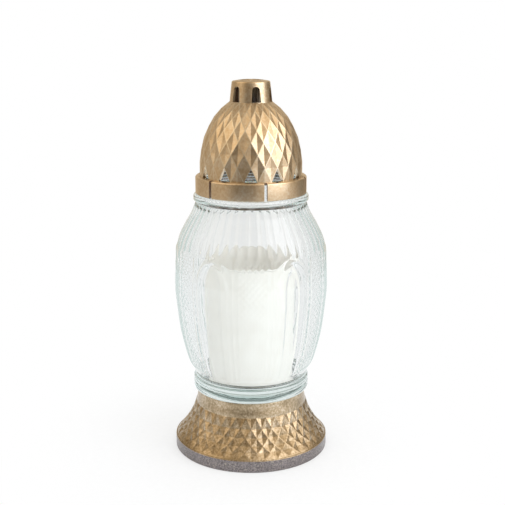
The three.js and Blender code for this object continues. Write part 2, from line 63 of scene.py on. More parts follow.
FOOT_ROW_SHARES = (0, 0.108, 0.215, 0.348, 0.503, 0.697)
FOOT_BAND_SHARES = (0.73, 0.8, 0.87, 0.94)
SOCKET_RADIUS = 32.9
SOCKET_DEPTH = 2.2
SOCKET_FLOOR = 2.0
RIDGE_ROUND = 0.24
RIM_FADE = 0.2
HAIR = 0.1
WELD = 0.001
# How far a face's normal has to lean inwards on a wall, up on a seat, and down on a ceiling
WALL_LEAN, SEAT_LEAN, CEILING_LEAN = 0.05, 0.9, 0.5
# A moulding's second, third and fourth finish, by their place among its materials
BARE, FLASH, RIDGE_FINISH = 1, 2, 3


def turn_of(point):
    """A point's turn round the axis, in radians from the front to the right."""
    return math.atan2(point.co.x, -point.co.y)


def stack_rings(columns, rings, first_low=0):
    """Draws a skin through rings by extruding one loop of points upwards.

    A plain ring is (radius, height). A ring of the diamonds is (radius, height, row, depth): its
    alternate points, the middles of diamonds, sink by depth, and the others are corners of the
    raised net. Returns the mesh and the set of points that belong to the diamonds."""
    bm = bmesh.new()
    bmesh.ops.create_circle(bm, segments=columns, radius=1)
    loop = set(bm.verts)
    edges = bm.edges[:]
    pattern = set()
    middles = set()
    for number, (radius, height, *diamonds) in enumerate(rings):
        if number:
            loop, edges = grow(bm, edges)
        for point in loop:
            turn = turn_of(point)
            column = round(turn / math.tau * columns)
            reach = radius
            if diamonds:
                row, depth = diamonds
                pattern.add(point)
                if (column + row) % 2 == first_low:
                    middles.add(point)
                    reach -= depth
            point.co = (reach * math.sin(turn), -reach * math.cos(turn), height)
    for face in bm.faces[:]:
        corners = [point for point in face.verts if point not in middles]
        if len(corners) == 2 and pattern.issuperset(face.verts):
            bmesh.utils.face_split(face, corners[0], corners[1])
    return bm, pattern


def grow(bm, edges):
    """Extrudes edges in place. Returns the new points and the new edges that carry on from them."""
    grown = bmesh.ops.extrude_edge_only(bm, edges=edges)["geom"]
    points = {part for part in grown if isinstance(part, bmesh.types.BMVert)}
    lines = [part for part in grown if isinstance(part, bmesh.types.BMEdge)]
    return points, [line for line in lines if points.issuperset(line.verts)]


def face_out(bm):
    bmesh.ops.recalc_face_normals(bm, faces=bm.faces[:])


def round_ridges(bm, pattern, least_angle=math.radians(2)):
    """Leaves the facets and the creases flat. The raised net between them gets a narrow rounding
    and its own finish, which on the lid is a paler metal: a painted highlight along the ridges."""
    face_out(bm)
    for face in bm.faces:
        face.smooth = not pattern.issuperset(face.verts)
    net = [
        edge
        for edge in bm.edges
        if len(edge.link_faces) == 2
        and not any(face.smooth for face in edge.link_faces)
        and edge.calc_face_angle_signed() > least_angle
    ]
    rounded = bmesh.ops.bevel(
        bm, geom=net, offset=RIDGE_ROUND, offset_type="OFFSET", segments=2, profile=0.5,
        affect="EDGES", clamp_overlap=True, material=-1,
    )
    for face in rounded["faces"]:
        face.smooth = True
        face.material_index = RIDGE_FINISH


def close_ends(bm):
    """Fills the open loops of a skin and turns its faces outwards."""
    bmesh.ops.holes_fill(bm, edges=bm.edges[:], sides=0)
    face_out(bm)


def mark_corners(bm, limit=math.radians(35)):
    """Keeps the shading of smooth faces apart where they meet at a corner."""
    for edge in bm.edges:
        edge.smooth = len(edge.link_faces) != 2 or edge.calc_face_angle() < limit


def arc(radius, height, round_by, start, end, steps=4):
    """A round edge as a list of (radius, height), between two directions in degrees."""
    turns = [math.radians(start + (end - start) * step / steps) for step in range(steps + 1)]
    return [
        (radius + round_by * math.cos(turn), height + round_by * math.sin(turn)) for turn in turns
    ]


def corner(radius, height, round_by, steps=4):
    """The upper outer corner of a profile, rounded off."""
    return arc(radius - round_by, height - round_by, round_by, 0, 90, steps)


def put_together(bm, name, *finishes):
    """Turns a mesh in millimetres into an object in metres, with its finishes."""
    bmesh.ops.scale(bm, vec=(MM, MM, MM), verts=bm.verts[:])
    mesh = bpy.data.meshes.new(name)
    bm.to_mesh(mesh)
    bm.free()
    for finish in finishes:
        mesh.materials.append(finish)
    piece = bpy.data.objects.new(name, mesh)
    bpy.context.scene.collection.objects.link(piece)
    return piece


def linear(hex_colour):
    """An sRGB colour such as #c8a870 as linear red, green, blue and alpha."""
    parts = [int(hex_colour[place:place + 2], 16) / 255 for place in (1, 3, 5)]
    return [
        part / 12.92 if part <= 0.04045 else ((part + 0.055) / 1.055) ** 2.4 for part in parts
    ] + [1.0]


def add(tree, kind, sockets=None, stops=(), **settings):
    """Adds a shader node. Settings are its own fields. Sockets are values for its inputs, or what
    links to them: an output, or a node whose first output in use is meant. Stops are the (place,
    hex colour) pairs of a colour ramp."""
    made = tree.nodes.new("ShaderNode" + kind)
    for field, value in settings.items():
        setattr(made, field, value)
    for socket, value in (sockets or {}).items():
        if isinstance(value, bpy.types.Node):
            value = next(output for output in value.outputs if output.enabled)
        if isinstance(value, bpy.types.NodeSocket):
            tree.links.new(value, made.inputs[socket])
        else:
            made.inputs[socket].default_value = value
    for number, (place, colour) in enumerate(stops):
        marks = made.color_ramp.elements
        mark = marks[number] if number < len(marks) else marks.new(place)
        mark.position = place
        mark.color = linear(colour)
    return made


def new_finish(name):
    """An empty node material, with its output node and the object's own coordinates."""
    finish = bpy.data.materials.new(name)
    finish.use_nodes = True
    tree = finish.node_tree
    tree.nodes.clear()
    return finish, tree, add(tree, "TexCoord").outputs["Object"]


def metallised(name, tones, gloss, speck_size, speck_depth, rim_tones=None):
    """Vacuum-metallised plastic: a thin, slightly grainy metal under a clear glossy lacquer.

    The tint pools in mottles of speck_size millimetres and clouds of 14 mm, which shift the tone
    between tones, and the mottles shift the gloss between its two roughness values. The lacquer
    has an orange peel of 0.7 mm. Below the rim's edge the tone comes from rim_tones instead."""
    finish, tree, place = new_finish(name)
    mottle = add(
        tree, "TexNoise",
        {"Vector": place, "Scale": 1 / (speck_size * MM), "Detail": 4.0, "Roughness": 0.62},
    )
    cloud = add(tree, "TexNoise", {"Vector": place, "Scale": 1 / (14 * MM), "Detail": 2.0})
    pooled = add(tree, "Mix", {"Factor": 0.35, "A": mottle, "B": cloud})
    tone = add(tree, "ValToRGB", {"Fac": pooled}, stops=tones)
    if rim_tones:
        # Below the rim's edge the tone turns to the greyer, darker rim_tones, in grains of 0.8 mm
        grain = add(tree, "TexNoise", {"Vector": place, "Scale": 1 / (0.8 * MM), "Detail": 3.0})
        height = add(tree, "SeparateXYZ", {"Vector": place}).outputs["Z"]
        low = (FOOT_RIM_HEIGHT - FOOT_RIM_ROUND) * MM
        high = low + RIM_FADE * MM
        above = add(tree, "MapRange", {"Value": height, "From Min": low, "From Max": high})
        grey = add(tree, "ValToRGB", {"Fac": grain}, stops=rim_tones)
        tone = add(tree, "Mix", {"Factor": above, "A": grey, "B": tone}, data_type="RGBA")
    peel = add(tree, "TexNoise", {"Vector": place, "Scale": 1 / (0.7 * MM), "Detail": 2.0})
    height = add(tree, "Mix", {"Factor": 0.7, "A": peel, "B": mottle})
    bump = add(tree, "Bump", {"Distance": speck_depth * MM, "Height": height})
    satin = add(tree, "MapRange", {"Value": mottle, "To Min": gloss[0], "To Max": gloss[1]})
    shine = add(
        tree, "BsdfPrincipled",
        {
            "Base Color": tone,
            "Metallic": 1.0,
            "Roughness": satin,
            "Coat Weight": 0.6,
            "Coat Roughness": 0.2,
            "Normal": bump,
        },
    )
    add(tree, "OutputMaterial", {"Surface": shine})
    return finish


def mark_inside(bm, bore, low, high, seat=0.0):
    """Bares the faces that look at the axis, and those within the bore that look down. Those that
    look at the axis below low or above high get the flash, because the vapour reached them, and
    so do those that look up within the radius of a seat."""
    bm.normal_update()
    for face in bm.faces:
        if face.material_index == RIDGE_FINISH:
            continue
        centre = face.calc_center_median()
        away = centre.xy.length
        inwards = face.normal.xy.dot(centre.xy) < -WALL_LEAN * away
        seated = face.normal.z > SEAT_LEAN and away < seat
        if seated or (inwards and not low < centre.z < high):
            face.material_index = FLASH
        elif inwards or (face.normal.z < -CEILING_LEAN and away < bore):
            face.material_index = BARE


def skirt(share):
    """The foot's outer radius at a share of the height between its rim and its lip."""
    reach = FOOT_RADIUS - FOOT_RIM_ROUND - FOOT_LIP_RADIUS
    return FOOT_LIP_RADIUS + reach * (1 - share) ** FLARE_POWER


def skirt_height(share):
    return FOOT_RIM_HEIGHT + (FOOT_HEIGHT - FOOT_RIM_HEIGHT) * share


foot_inset = FOOT_RELIEF + FOOT_WALL
hollow_top = FOOT_HEIGHT - SOCKET_DEPTH - SOCKET_FLOOR
foot_rings = [(skirt(1) - foot_inset, hollow_top)]
for share in reversed(FOOT_ROW_SHARES[1:]):
    height = min(skirt_height(share) - FOOT_WALL, hollow_top - HAIR)
    foot_rings.append((skirt(share) - foot_inset, height))
foot_rings += [
    (FOOT_RADIUS - foot_inset, FOOT_RIM_HEIGHT - FOOT_WALL),
    (FOOT_RADIUS - foot_inset, 0),
    (FOOT_RADIUS - FOOT_RIM_ROUND, 0),
    (FOOT_RADIUS, FOOT_RIM_ROUND),
]
foot_rings += corner(FOOT_RADIUS, FOOT_RIM_HEIGHT, FOOT_RIM_ROUND)
foot_rings.append((skirt(0) - FOOT_LEDGE, FOOT_RIM_HEIGHT, 0, 0))
for row, share in enumerate(FOOT_ROW_SHARES[1:], start=1):
    depth = FOOT_RELIEF * (FOOT_LAST_ROW_SHARE if share == FOOT_ROW_SHARES[-1] else 1)
    foot_rings.append((skirt(share), skirt_height(share), row, depth))
foot_rings += [(skirt(share), skirt_height(share)) for share in FOOT_BAND_SHARES]
foot_rings += corner(FOOT_LIP_RADIUS, FOOT_HEIGHT, FOOT_LIP_ROUND)
foot_rings += [(SOCKET_RADIUS, FOOT_HEIGHT), (SOCKET_RADIUS, FOOT_HEIGHT - SOCKET_DEPTH)]
foot_mesh, foot_pattern = stack_rings(2 * FOOT_DIAMONDS, foot_rings, first_low=1)
round_ridges(foot_mesh, foot_pattern)
close_ends(foot_mesh)
mark_corners(foot_mesh)
mark_inside(foot_mesh, FOOT_RADIUS - foot_inset, -1, hollow_top, FOOT_LIP_RADIUS)
# Darker and more mottled than the lid: olive brown with pale specks about 1.3 mm across
foot_brass = metallised(
    "metallised_polystyrene_dark",
    ((0.3, "#7a674c"), (0.45, "#a69374"), (0.56, "#c6b396"), (0.7, "#e6ddcd")),
    (0.3, 0.44), speck_size=1.3, speck_depth=0.05,
    rim_tones=((0.3, "#5f5958"), (0.48, "#847d7e"), (0.58, "#968f92"), (0.7, "#b9b09b")),
)
# Inside, where the metal didn't reach, the brown polystyrene is bare, with flow clouds of 12 mm
bare_brown, tree, place = new_finish("bare_polystyrene_brown")
flow = add(tree, "TexNoise", {"Vector": place, "Scale": 1 / (12 * MM), "Detail": 3.0})
brown = add(tree, "ValToRGB", {"Fac": flow}, stops=((0.3, "#654a34"), (0.7, "#80634a")))
satin = add(tree, "MapRange", {"Value": flow, "To Min": 0.35, "To Max": 0.5})
body = add(tree, "BsdfPrincipled", {"Base Color": brown, "Roughness": satin, "IOR": 1.59})
add(tree, "OutputMaterial", {"Surface": body})
# The seats were reached by the metal vapour, but not by the tinted lacquer: grey clouds of 3 mm
bare_flash = metallised(
    "untinted_metal_flash", ((0.3, "#a4abad"), (0.7, "#d3d7d8")), (0.3, 0.45),
    speck_size=3.0, speck_depth=0.02,
)
foot = put_together(foot_mesh, "foot_moulding", foot_brass, bare_brown, bare_flash, foot_brass)
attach(foot, "lantern")
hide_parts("foot")

# Jar. Clear soda-lime glass, pressed in an iron mould: a plain spigot and neck, a rounded heel, and
# a barrel with flutes on its shoulder over a ring of arches, every second one filled with small
# diamonds. The glass is about 3 mm thick, and its iron gives the edges a blue-green tint.
jar_low, jar_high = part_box("glass_jar")
JAR_SPIGOT_DEPTH = 2.2
JAR_BASE = jar_low.z / MM + JAR_SPIGOT_DEPTH
JAR_SPIGOT_RADIUS = 32.6
JAR_SPIGOT_SLOPE = 3.2
JAR_SPIGOT_LAND = 0.4
JAR_SPIGOT_EDGE = 0.2
JAR_STANDING_RING = 5.0
JAR_PUNT_HEIGHT = 1.0
JAR_HEEL_RADIUS = 37.1
JAR_HEEL_HEIGHT = 11.8
JAR_HEEL_ROUND = 1.9
JAR_HEEL_LINE = 0.3
JAR_GROOVE_RADIUS = 35.9
JAR_BULGE_RADIUS = 48.3
JAR_BULGE_HEIGHT = 69.4
JAR_WALL = 3.0
JAR_FLOOR_HEIGHT = 8.0
JAR_FLOOR_CORNER = 4.0
JAR_FLOOR_MIDDLE = 1.0
NECK_GROOVE_RADIUS = 34.7
NECK_GROOVE_HEIGHT = 122.7
NECK_BEAD_RADIUS = 36.2
NECK_BEAD_HEIGHT = 4.8
NECK_BEAD_ROUND = 1.5
NECK_RADIUS = 32.5
NECK_BORE_RADIUS = 29.7
LIP_ROUND = 1.0
BARREL_LOWER_SHARES = ((0, 0), (0.07, 0.17), (0.193, 0.411), (0.48, 0.742), (0.807, 0.935))
BARREL_UPPER_SHARES = (
    (0, 1), (0.292, 0.955), (0.531, 0.858), (0.708, 0.56), (0.864, 0.216), (1, 0),
)
BARREL_ROWS = 122
BORE_ROW_STEP = 6
PUNT_TURNS = (2, 20, 40, 60, 80, 90)
JAR_COLUMNS = 480
JAR_TURNS = 2
# The pressed pattern: angles in degrees, from the centre of the arch in front
PATTERN_TURN = 1.4
FLUTES = 48
FLUTE_DEPTH = 0.55
FLUTE_TOP = 119.6
FLUTE_END = 98.5
FLUTE_TIP = 4.6
ARCHES = 12
RIB_ANGLE = 13.0
RIB_HALF_ANGLE = 1.9
RIB_HEIGHT = 0.5
RIB_FOOT = 15.0
RIB_FADE = 3.0
ARCH_SPRING = 76.0
ARCH_RISE = 17.5
ARCH_POINT = 0.4
PANEL_ANGLE = 6.1
PANEL_RISE = 13.0
PANEL_HEIGHT = 0.35
PANEL_EDGE = 1.2
DIAMOND_ANGLE = 4.5
DIAMOND_HEIGHT = 4.4
DIAMOND_RELIEF = 0.5
DIAMOND_FIELD_ANGLE = 10.9
DIAMOND_FIELD_TOP = 94.0
DIAMOND_FIELD_EDGE = 0.8
DIAMOND_FIELD_FADE = 2.0
DIAMOND_VALLEY = 0.4


def lerp(start, end, share):
    return start + (end - start) * share


def through(points, share):
    """A smooth curve through points, at a share of its way."""
    last = len(points) - 1
    step = min(int(share * last), last - 1)
    weight = share * last - step
    before, start, end, after = (points[min(max(step + move, 0), last)] for move in (-1, 0, 1, 2))
    leave = (end - before) / 2
    arrive = (after - start) / 2
    return (
        start + leave * weight
        + (3 * (end - start) - 2 * leave - arrive) * weight ** 2
        + (2 * (start - end) + leave + arrive) * weight ** 3
    )


def clamp(value):
    return min(max(value, 0.0), 1.0)


def bump_of(distance):
    """A round rib or scoop: 1 in its middle and 0 from a distance of 1 outwards."""
    return max(0.0, 1 - distance * distance)


def arch_reach(side, height, spring, rise):
    """How far a place lies from a pointed arch's middle, as a share of the arch's half width."""
    above = max(0.0, height - spring) / rise * math.sqrt(1 + 2 * ARCH_POINT)
    if above == 0:
        return side
    return math.hypot(side + ARCH_POINT, above) / (1 + ARCH_POINT)


def pressed(turn, height):
    """How far the mould's pattern stands out of the barrel, at a turn in degrees and a height."""
    flute_pitch = 360 / FLUTES
    across = (turn + flute_pitch / 2) % flute_pitch - flute_pitch / 2
    along = max(height - FLUTE_TOP, 0) / (NECK_GROOVE_HEIGHT - FLUTE_TOP)
    along += max(FLUTE_END - height, 0) / FLUTE_TIP
    out = -FLUTE_DEPTH * bump_of(math.hypot(across / (flute_pitch / 2), along))
    arch_pitch = 360 / ARCHES
    number = round(turn / arch_pitch)
    side = abs(turn - number * arch_pitch)
    foot_fade = clamp((height - RIB_FOOT) / RIB_FADE)
    if number % 2 == 0:
        below = DIAMOND_FIELD_TOP - height
        rib = bump_of((side - RIB_ANGLE) / RIB_HALF_ANGLE)
        rib *= clamp((below + DIAMOND_FIELD_FADE) / RIB_FADE)
        field = clamp((DIAMOND_FIELD_ANGLE - side) / DIAMOND_FIELD_EDGE)
        field *= clamp(below / DIAMOND_FIELD_FADE)
        slant = side / DIAMOND_ANGLE
        level = height / DIAMOND_HEIGHT
        first = 1 - abs(2 * ((slant + level) % 1) - 1)
        second = 1 - abs(2 * ((slant - level) % 1) - 1)
        out += foot_fade * field * DIAMOND_RELIEF * (min(first, second) - DIAMOND_VALLEY)
    else:
        reach = arch_reach(side / RIB_ANGLE, height, ARCH_SPRING, ARCH_RISE)
        rib = bump_of((reach - 1) * RIB_ANGLE / RIB_HALF_ANGLE)
        inner = arch_reach(side / PANEL_ANGLE, height, ARCH_SPRING, PANEL_RISE)
        out += foot_fade * PANEL_HEIGHT * clamp((1 - inner) * PANEL_ANGLE / PANEL_EDGE)
    return out + foot_fade * RIB_HEIGHT * rib


def smooth(bm):
    for face in bm.faces:
        face.smooth = True


def wall_middle(height):
    """The radius of the middle of the barrel's wall at a height above the jar's base."""
    place = min(max(bisect.bisect(barrel_heights, height), 1), BARREL_ROWS)
    return lerp(barrel[place - 1].x, barrel[place].x, 0.5) - JAR_WALL / 2


def belly(foot, top, waist, shares):
    """Points of the barrel between two heights, from shares of the height and of the bulge."""
    return [
        Vector((lerp(waist, JAR_BULGE_RADIUS, swell), lerp(foot, top, rise)))
        for rise, swell in shares
    ]


barrel_points = belly(JAR_HEEL_HEIGHT, JAR_BULGE_HEIGHT, JAR_GROOVE_RADIUS, BARREL_LOWER_SHARES)
barrel_points += belly(
    JAR_BULGE_HEIGHT, NECK_GROOVE_HEIGHT, NECK_GROOVE_RADIUS, BARREL_UPPER_SHARES,
)
barrel = [through(barrel_points, row / BARREL_ROWS) for row in range(BARREL_ROWS + 1)]
barrel_heights = [point.y for point in barrel]
bead_top = NECK_GROOVE_HEIGHT + NECK_BEAD_HEIGHT
neck_top = jar_high.z / MM - JAR_BASE
ring_inside = JAR_SPIGOT_RADIUS - JAR_STANDING_RING
heel_centre = JAR_HEEL_RADIUS - JAR_HEEL_ROUND
heel_middle = JAR_HEEL_HEIGHT / 2
bead_centre = NECK_BEAD_RADIUS - NECK_BEAD_ROUND
spigot_foot = JAR_SPIGOT_RADIUS - JAR_SPIGOT_SLOPE
jar_outside = [
    (ring_inside * math.sin(turn), JAR_PUNT_HEIGHT * math.cos(turn) - JAR_SPIGOT_DEPTH)
    for turn in map(math.radians, PUNT_TURNS)
]
jar_outside += [
    (spigot_foot, -JAR_SPIGOT_DEPTH),
    (spigot_foot + JAR_SPIGOT_EDGE, HAIR - JAR_SPIGOT_DEPTH),
    (JAR_SPIGOT_RADIUS - JAR_SPIGOT_EDGE, -JAR_SPIGOT_LAND - HAIR),
    (JAR_SPIGOT_RADIUS, -JAR_SPIGOT_LAND),
    (JAR_SPIGOT_RADIUS, 0),
    (JAR_SPIGOT_RADIUS + HAIR, 0),
]
jar_outside += arc(heel_centre, JAR_HEEL_ROUND, JAR_HEEL_ROUND, -90, 0, 5)
jar_outside += [
    (JAR_HEEL_RADIUS, heel_middle - JAR_HEEL_LINE),
    (JAR_HEEL_RADIUS - JAR_HEEL_LINE, heel_middle),
    (JAR_HEEL_RADIUS, heel_middle + JAR_HEEL_LINE),
]
jar_outside += arc(heel_centre, JAR_HEEL_HEIGHT - 2 * JAR_HEEL_ROUND, JAR_HEEL_ROUND, 0, 50, 4)
jar_outside += [tuple(point) for point in barrel]
jar_outside += arc(bead_centre, bead_top - 2 * NECK_BEAD_ROUND, NECK_BEAD_ROUND, -70, 0, 3)
jar_outside += corner(NECK_BEAD_RADIUS, bead_top, NECK_BEAD_ROUND)
jar_outside.append((NECK_RADIUS, bead_top))
jar_outside += corner(NECK_RADIUS, neck_top, LIP_ROUND, 3)
jar_inside = arc(NECK_BORE_RADIUS + LIP_ROUND, neck_top - LIP_ROUND, LIP_ROUND, 90, 180, 3)
jar_inside.append((NECK_BORE_RADIUS, NECK_GROOVE_HEIGHT))
inner_floor = JAR_FLOOR_HEIGHT + JAR_FLOOR_CORNER
jar_inside += [
    (point.x - JAR_WALL, point.y)
    for point in barrel[::-BORE_ROW_STEP]
    if inner_floor + JAR_WALL < point.y < NECK_GROOVE_HEIGHT - JAR_WALL
]
floor_reach = JAR_GROOVE_RADIUS - JAR_WALL - JAR_FLOOR_CORNER
jar_inside += arc(floor_reach, inner_floor, JAR_FLOOR_CORNER, 0, -90, 4)
jar_inside.append((JAR_FLOOR_MIDDLE, JAR_FLOOR_HEIGHT))
jar_rings = [(radius, JAR_BASE + height) for radius, height in jar_outside + jar_inside]
jar_mesh = stack_rings(JAR_COLUMNS, jar_rings)[0]
close_ends(jar_mesh)
smooth(jar_mesh)
pattern_floor = barrel[0].y
for point in jar_mesh.verts:
    height = point.co.z - JAR_BASE
    radius = math.hypot(point.co.x, point.co.y)
    if pattern_floor < height < NECK_GROOVE_HEIGHT and radius > wall_middle(height):
        lift = pressed(math.degrees(turn_of(point)) - PATTERN_TURN, height) / radius
        point.co.x *= 1 + lift
        point.co.y *= 1 + lift


def ran_on(tree, path):
    """1 for light that has run on inside the jar's wall for more than its own few reflections."""
    return add(
        tree, "Math", {0: path.outputs["Glossy Depth"], 1: JAR_TURNS + 0.5},
        operation="GREATER_THAN",
    )


# The iron was cold where the glass met it: ripples about 9 mm apart, and too shallow to see, except
# where they bend a highlight
clear_glass, tree, place = new_finish("pressed_soda_lime_glass")
ripple = add(tree, "TexNoise", {"Vector": place, "Scale": 1 / (9 * MM), "Detail": 2.0})
bump = add(tree, "Bump", {"Distance": 0.06 * MM, "Height": ripple})
polish = add(tree, "MapRange", {"Value": ripple, "To Min": 0.0, "To Max": 0.03})
clear = add(
    tree, "BsdfPrincipled",
    {
        "Base Color": linear("#f5f6f6"),
        "Roughness": polish,
        "IOR": 1.52,
        "Transmission Weight": 1.0,
        "Normal": bump,
    },
)
# Soft light and the lamp's light reach the candle straight through the thin wall. Light that has
# run on inside the wall leaves it straight too, once with the tint of that long way
path = add(tree, "LightPath")
run_on = ran_on(tree, path)
leaving = add(
    tree, "Math", {0: path.outputs["Transparent Depth"], 1: 0.5}, operation="LESS_THAN",
)
long_way = add(
    tree, "Mix", {"Factor": leaving, "A": linear("#ffffff"), "B": linear("#d3dfdc")},
    data_type="RGBA",
)
soft_light = add(
    tree, "Math", {0: path.outputs["Is Shadow Ray"], 1: path.outputs["Is Diffuse Ray"]},
    operation="MAXIMUM",
)
edge_tint = add(
    tree, "Mix", {"Factor": soft_light, "A": long_way, "B": linear("#fcfefd")}, data_type="RGBA",
)
open_way = add(tree, "BsdfTransparent", {"Color": edge_tint})
straight = add(tree, "Math", {0: soft_light, 1: run_on}, operation="MAXIMUM")
surface = add(tree, "MixShader", {0: straight, 1: clear, 2: open_way})
tint = add(tree, "VolumeAbsorption", {"Color": linear("#c9e2de"), "Density": 6.0})
add(tree, "OutputMaterial", {"Surface": surface, "Volume": tint})
jar = put_together(jar_mesh, "pressed_jar", clear_glass)
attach(jar, "lantern")
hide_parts("glass_jar")

# Candle cup. A thin polypropylene cup, deep-drawn from white translucent sheet, with a rolled lip
# that stiffens its mouth. It stands loose on the jar's floor and is thrown away when burnt out.
cup_low, cup_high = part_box("candle_cup")
CUP_BASE = cup_low.z / MM
CUP_HEIGHT = cup_high.z / MM - CUP_BASE
CUP_BASE_RADIUS = 27.3
CUP_TOP_RADIUS = 28.0
CUP_WALL = 0.8
CUP_KICK = 0.5
CUP_RING = 5.0
CUP_RING_SLOPE = 0.8
CUP_CORNER = 2.0
CUP_DRAWS = (20, 40, 60)
CUP_LIP_REACH = 0.7
CUP_LIP_ROUND = 0.6
CUP_LIP_NECK = 2.2
CUP_STEPS = 128


def cup_wall(height):
    return lerp(CUP_BASE_RADIUS, CUP_TOP_RADIUS, height / CUP_HEIGHT)


def turn_profile(profile, steps, base=0.0):
    """Spins a list of (radius, height) round the upright axis into a closed skin."""
    bm = bmesh.new()
    points = [bm.verts.new((0, -radius, base + height)) for radius, height in profile]
    lines = [bm.edges.new(pair) for pair in zip(points, points[1:])]
    bmesh.ops.spin(
        bm, geom=points + lines, cent=(0, 0, 0), axis=(0, 0, 1), angle=math.tau, steps=steps,
        use_merge=True,
    )
    bmesh.ops.remove_doubles(bm, verts=bm.verts[:], dist=WELD)
    on_axis = [edge for edge in bm.edges if not edge.link_faces]
    bmesh.ops.delete(bm, geom=on_axis, context="EDGES")
    face_out(bm)
    smooth(bm)
    return bm


ring_middle = CUP_BASE_RADIUS - CUP_RING
cup_profile = [(0, CUP_KICK), (ring_middle, CUP_KICK), (ring_middle + CUP_RING_SLOPE, 0)]
cup_profile += arc(CUP_BASE_RADIUS - CUP_CORNER, CUP_CORNER, CUP_CORNER, -90, 0, 5)
cup_profile += [(cup_wall(height), height) for height in (*CUP_DRAWS, CUP_HEIGHT - CUP_LIP_NECK)]
cup_profile += arc(
    CUP_TOP_RADIUS + CUP_LIP_REACH - CUP_LIP_ROUND, CUP_HEIGHT - CUP_LIP_ROUND, CUP_LIP_ROUND,
    -80, 110, 7,
)
cup_profile += [
    (cup_wall(height) - CUP_WALL, height)
    for height in (CUP_HEIGHT - CUP_LIP_NECK + CUP_LIP_ROUND, *CUP_DRAWS[::-1], 2 * CUP_CORNER)
]
cup_profile += arc(
    CUP_BASE_RADIUS - CUP_WALL - CUP_CORNER, CUP_WALL + CUP_CORNER, CUP_CORNER, 0, -90, 4,
)
cup_profile.append((0, CUP_WALL + HAIR))
cup_mesh = turn_profile(cup_profile, CUP_STEPS, CUP_BASE)
# Milky polypropylene sheet: it passes some light, and its haze drifts over some 8 mm
milky, tree, place = new_finish("milky_polypropylene")
haze = add(tree, "TexNoise", {"Vector": place, "Scale": 1 / (8 * MM), "Detail": 3.0})
white = add(tree, "ValToRGB", {"Fac": haze}, stops=((0.3, "#faf6f1"), (0.7, "#fffcf8")))
satin = add(tree, "MapRange", {"Value": haze, "To Min": 0.32, "To Max": 0.45})
# Drawing leaves upright lines about 0.9 mm apart
lines = add(tree, "Mapping", {"Vector": place, "Scale": (1, 1, 0.02)})
drawn = add(tree, "TexNoise", {"Vector": lines, "Scale": 1 / (0.9 * MM)})
bump = add(tree, "Bump", {"Distance": 0.02 * MM, "Height": drawn})
body = add(
    tree, "BsdfPrincipled",
    {"Base Color": white, "Roughness": satin, "IOR": 1.49, "Normal": bump},
)
glow = add(tree, "BsdfTranslucent", {"Color": white, "Normal": bump})
surface = add(tree, "MixShader", {0: 0.15, 1: body, 2: glow})
add(tree, "OutputMaterial", {"Surface": surface})
cup = put_together(cup_mesh, "candle_cup_drawn", milky)
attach(cup, "candle")
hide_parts("candle_cup")

# Wax. Paraffin poured hot into the cup round the wick: it shrinks as it sets, so it dishes towards
# the wick, and climbs a little where it first froze. A corner's points are (inset, rise) pairs.
wax_low, wax_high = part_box("candle_wax")
WAX_BASE = wax_low.z / MM
WAX_TOP = wax_high.z / MM
WAX_DISH = 1.2
WAX_CLIMB = 0.25
WAX_CLIMB_REACH = 1.6
WAX_FOOT_CORNER = ((2.6, 0), (0.8, 1), (0, 3.2))
WAX_WALL_SHARES = (0.4, 0.8)
WAX_TOP_CORNER = ((0, 0), (0.5, -0.5), (1.6, -0.9))
WAX_DISH_SHARES = (0.7, 0.3)
FIT_GAP = 0.3
wick_low, wick_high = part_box("wick")
WICK_RADIUS = wick_high.x / MM
holder_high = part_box("wick_holder")[1]
HOLDER_RADIUS = holder_high.x / MM
HOLDER_TOP = holder_high.z / MM
HOLDER_THICKNESS = 0.5
HOLDER_NECK_RADIUS = 2.1


def wax_wall(height):
    return cup_wall(height - CUP_BASE) - CUP_WALL - FIT_GAP


wax_bore = WICK_RADIUS + FIT_GAP
disc_top = WAX_BASE + HOLDER_THICKNESS
dish = WAX_TOP - WAX_DISH
wax_profile = [
    (wax_bore, dish + WAX_CLIMB),
    (wax_bore, HOLDER_TOP + FIT_GAP),
    (HOLDER_NECK_RADIUS + FIT_GAP, HOLDER_TOP + FIT_GAP),
    (HOLDER_NECK_RADIUS + FIT_GAP, disc_top + FIT_GAP),
    (HOLDER_RADIUS + FIT_GAP, disc_top + FIT_GAP),
    (HOLDER_RADIUS + FIT_GAP, WAX_BASE),
]
wax_profile += [(wax_wall(WAX_BASE) - inset, WAX_BASE + up) for inset, up in WAX_FOOT_CORNER]
wax_heights = [lerp(WAX_BASE, WAX_TOP, share) for share in WAX_WALL_SHARES]
wax_profile += [(wax_wall(height), height) for height in wax_heights]
wax_profile += [(wax_wall(WAX_TOP) - inset, WAX_TOP + up) for inset, up in WAX_TOP_CORNER]
wax_profile += [(wax_wall(WAX_TOP) * share, dish) for share in WAX_DISH_SHARES]
wax_profile += [(wax_bore + WAX_CLIMB_REACH, dish), (wax_bore, dish + WAX_CLIMB)]
wax_mesh = turn_profile(wax_profile, CUP_STEPS)
mark_corners(wax_mesh)
# Greasy white paraffin: light sinks a few millimetres in, and frost crystals of some 2 mm cloud it
paraffin, tree, place = new_finish("poured_paraffin")
frost = add(tree, "TexNoise", {"Vector": place, "Scale": 1 / (2 * MM), "Detail": 4.0})
white = add(tree, "ValToRGB", {"Fac": frost}, stops=((0.3, "#f4f0e4"), (0.7, "#fbf9f2")))
frosted = add(tree, "MapRange", {"Value": frost, "To Min": 0.38, "To Max": 0.6})
bump = add(tree, "Bump", {"Distance": 0.08 * MM, "Height": frost})
body = add(
    tree, "BsdfPrincipled",
    {
        "Base Color": white,
        "Roughness": frosted,
        "IOR": 1.43,
        "Subsurface Weight": 0.6,
        "Subsurface Radius": (1.0, 0.8, 0.6),
        "Subsurface Scale": 3 * MM,
        "Normal": bump,
    },
)
add(tree, "OutputMaterial", {"Surface": body})
wax = put_together(wax_mesh, "wax_fill", paraffin)
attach(wax, "candle")
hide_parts("candle_wax")

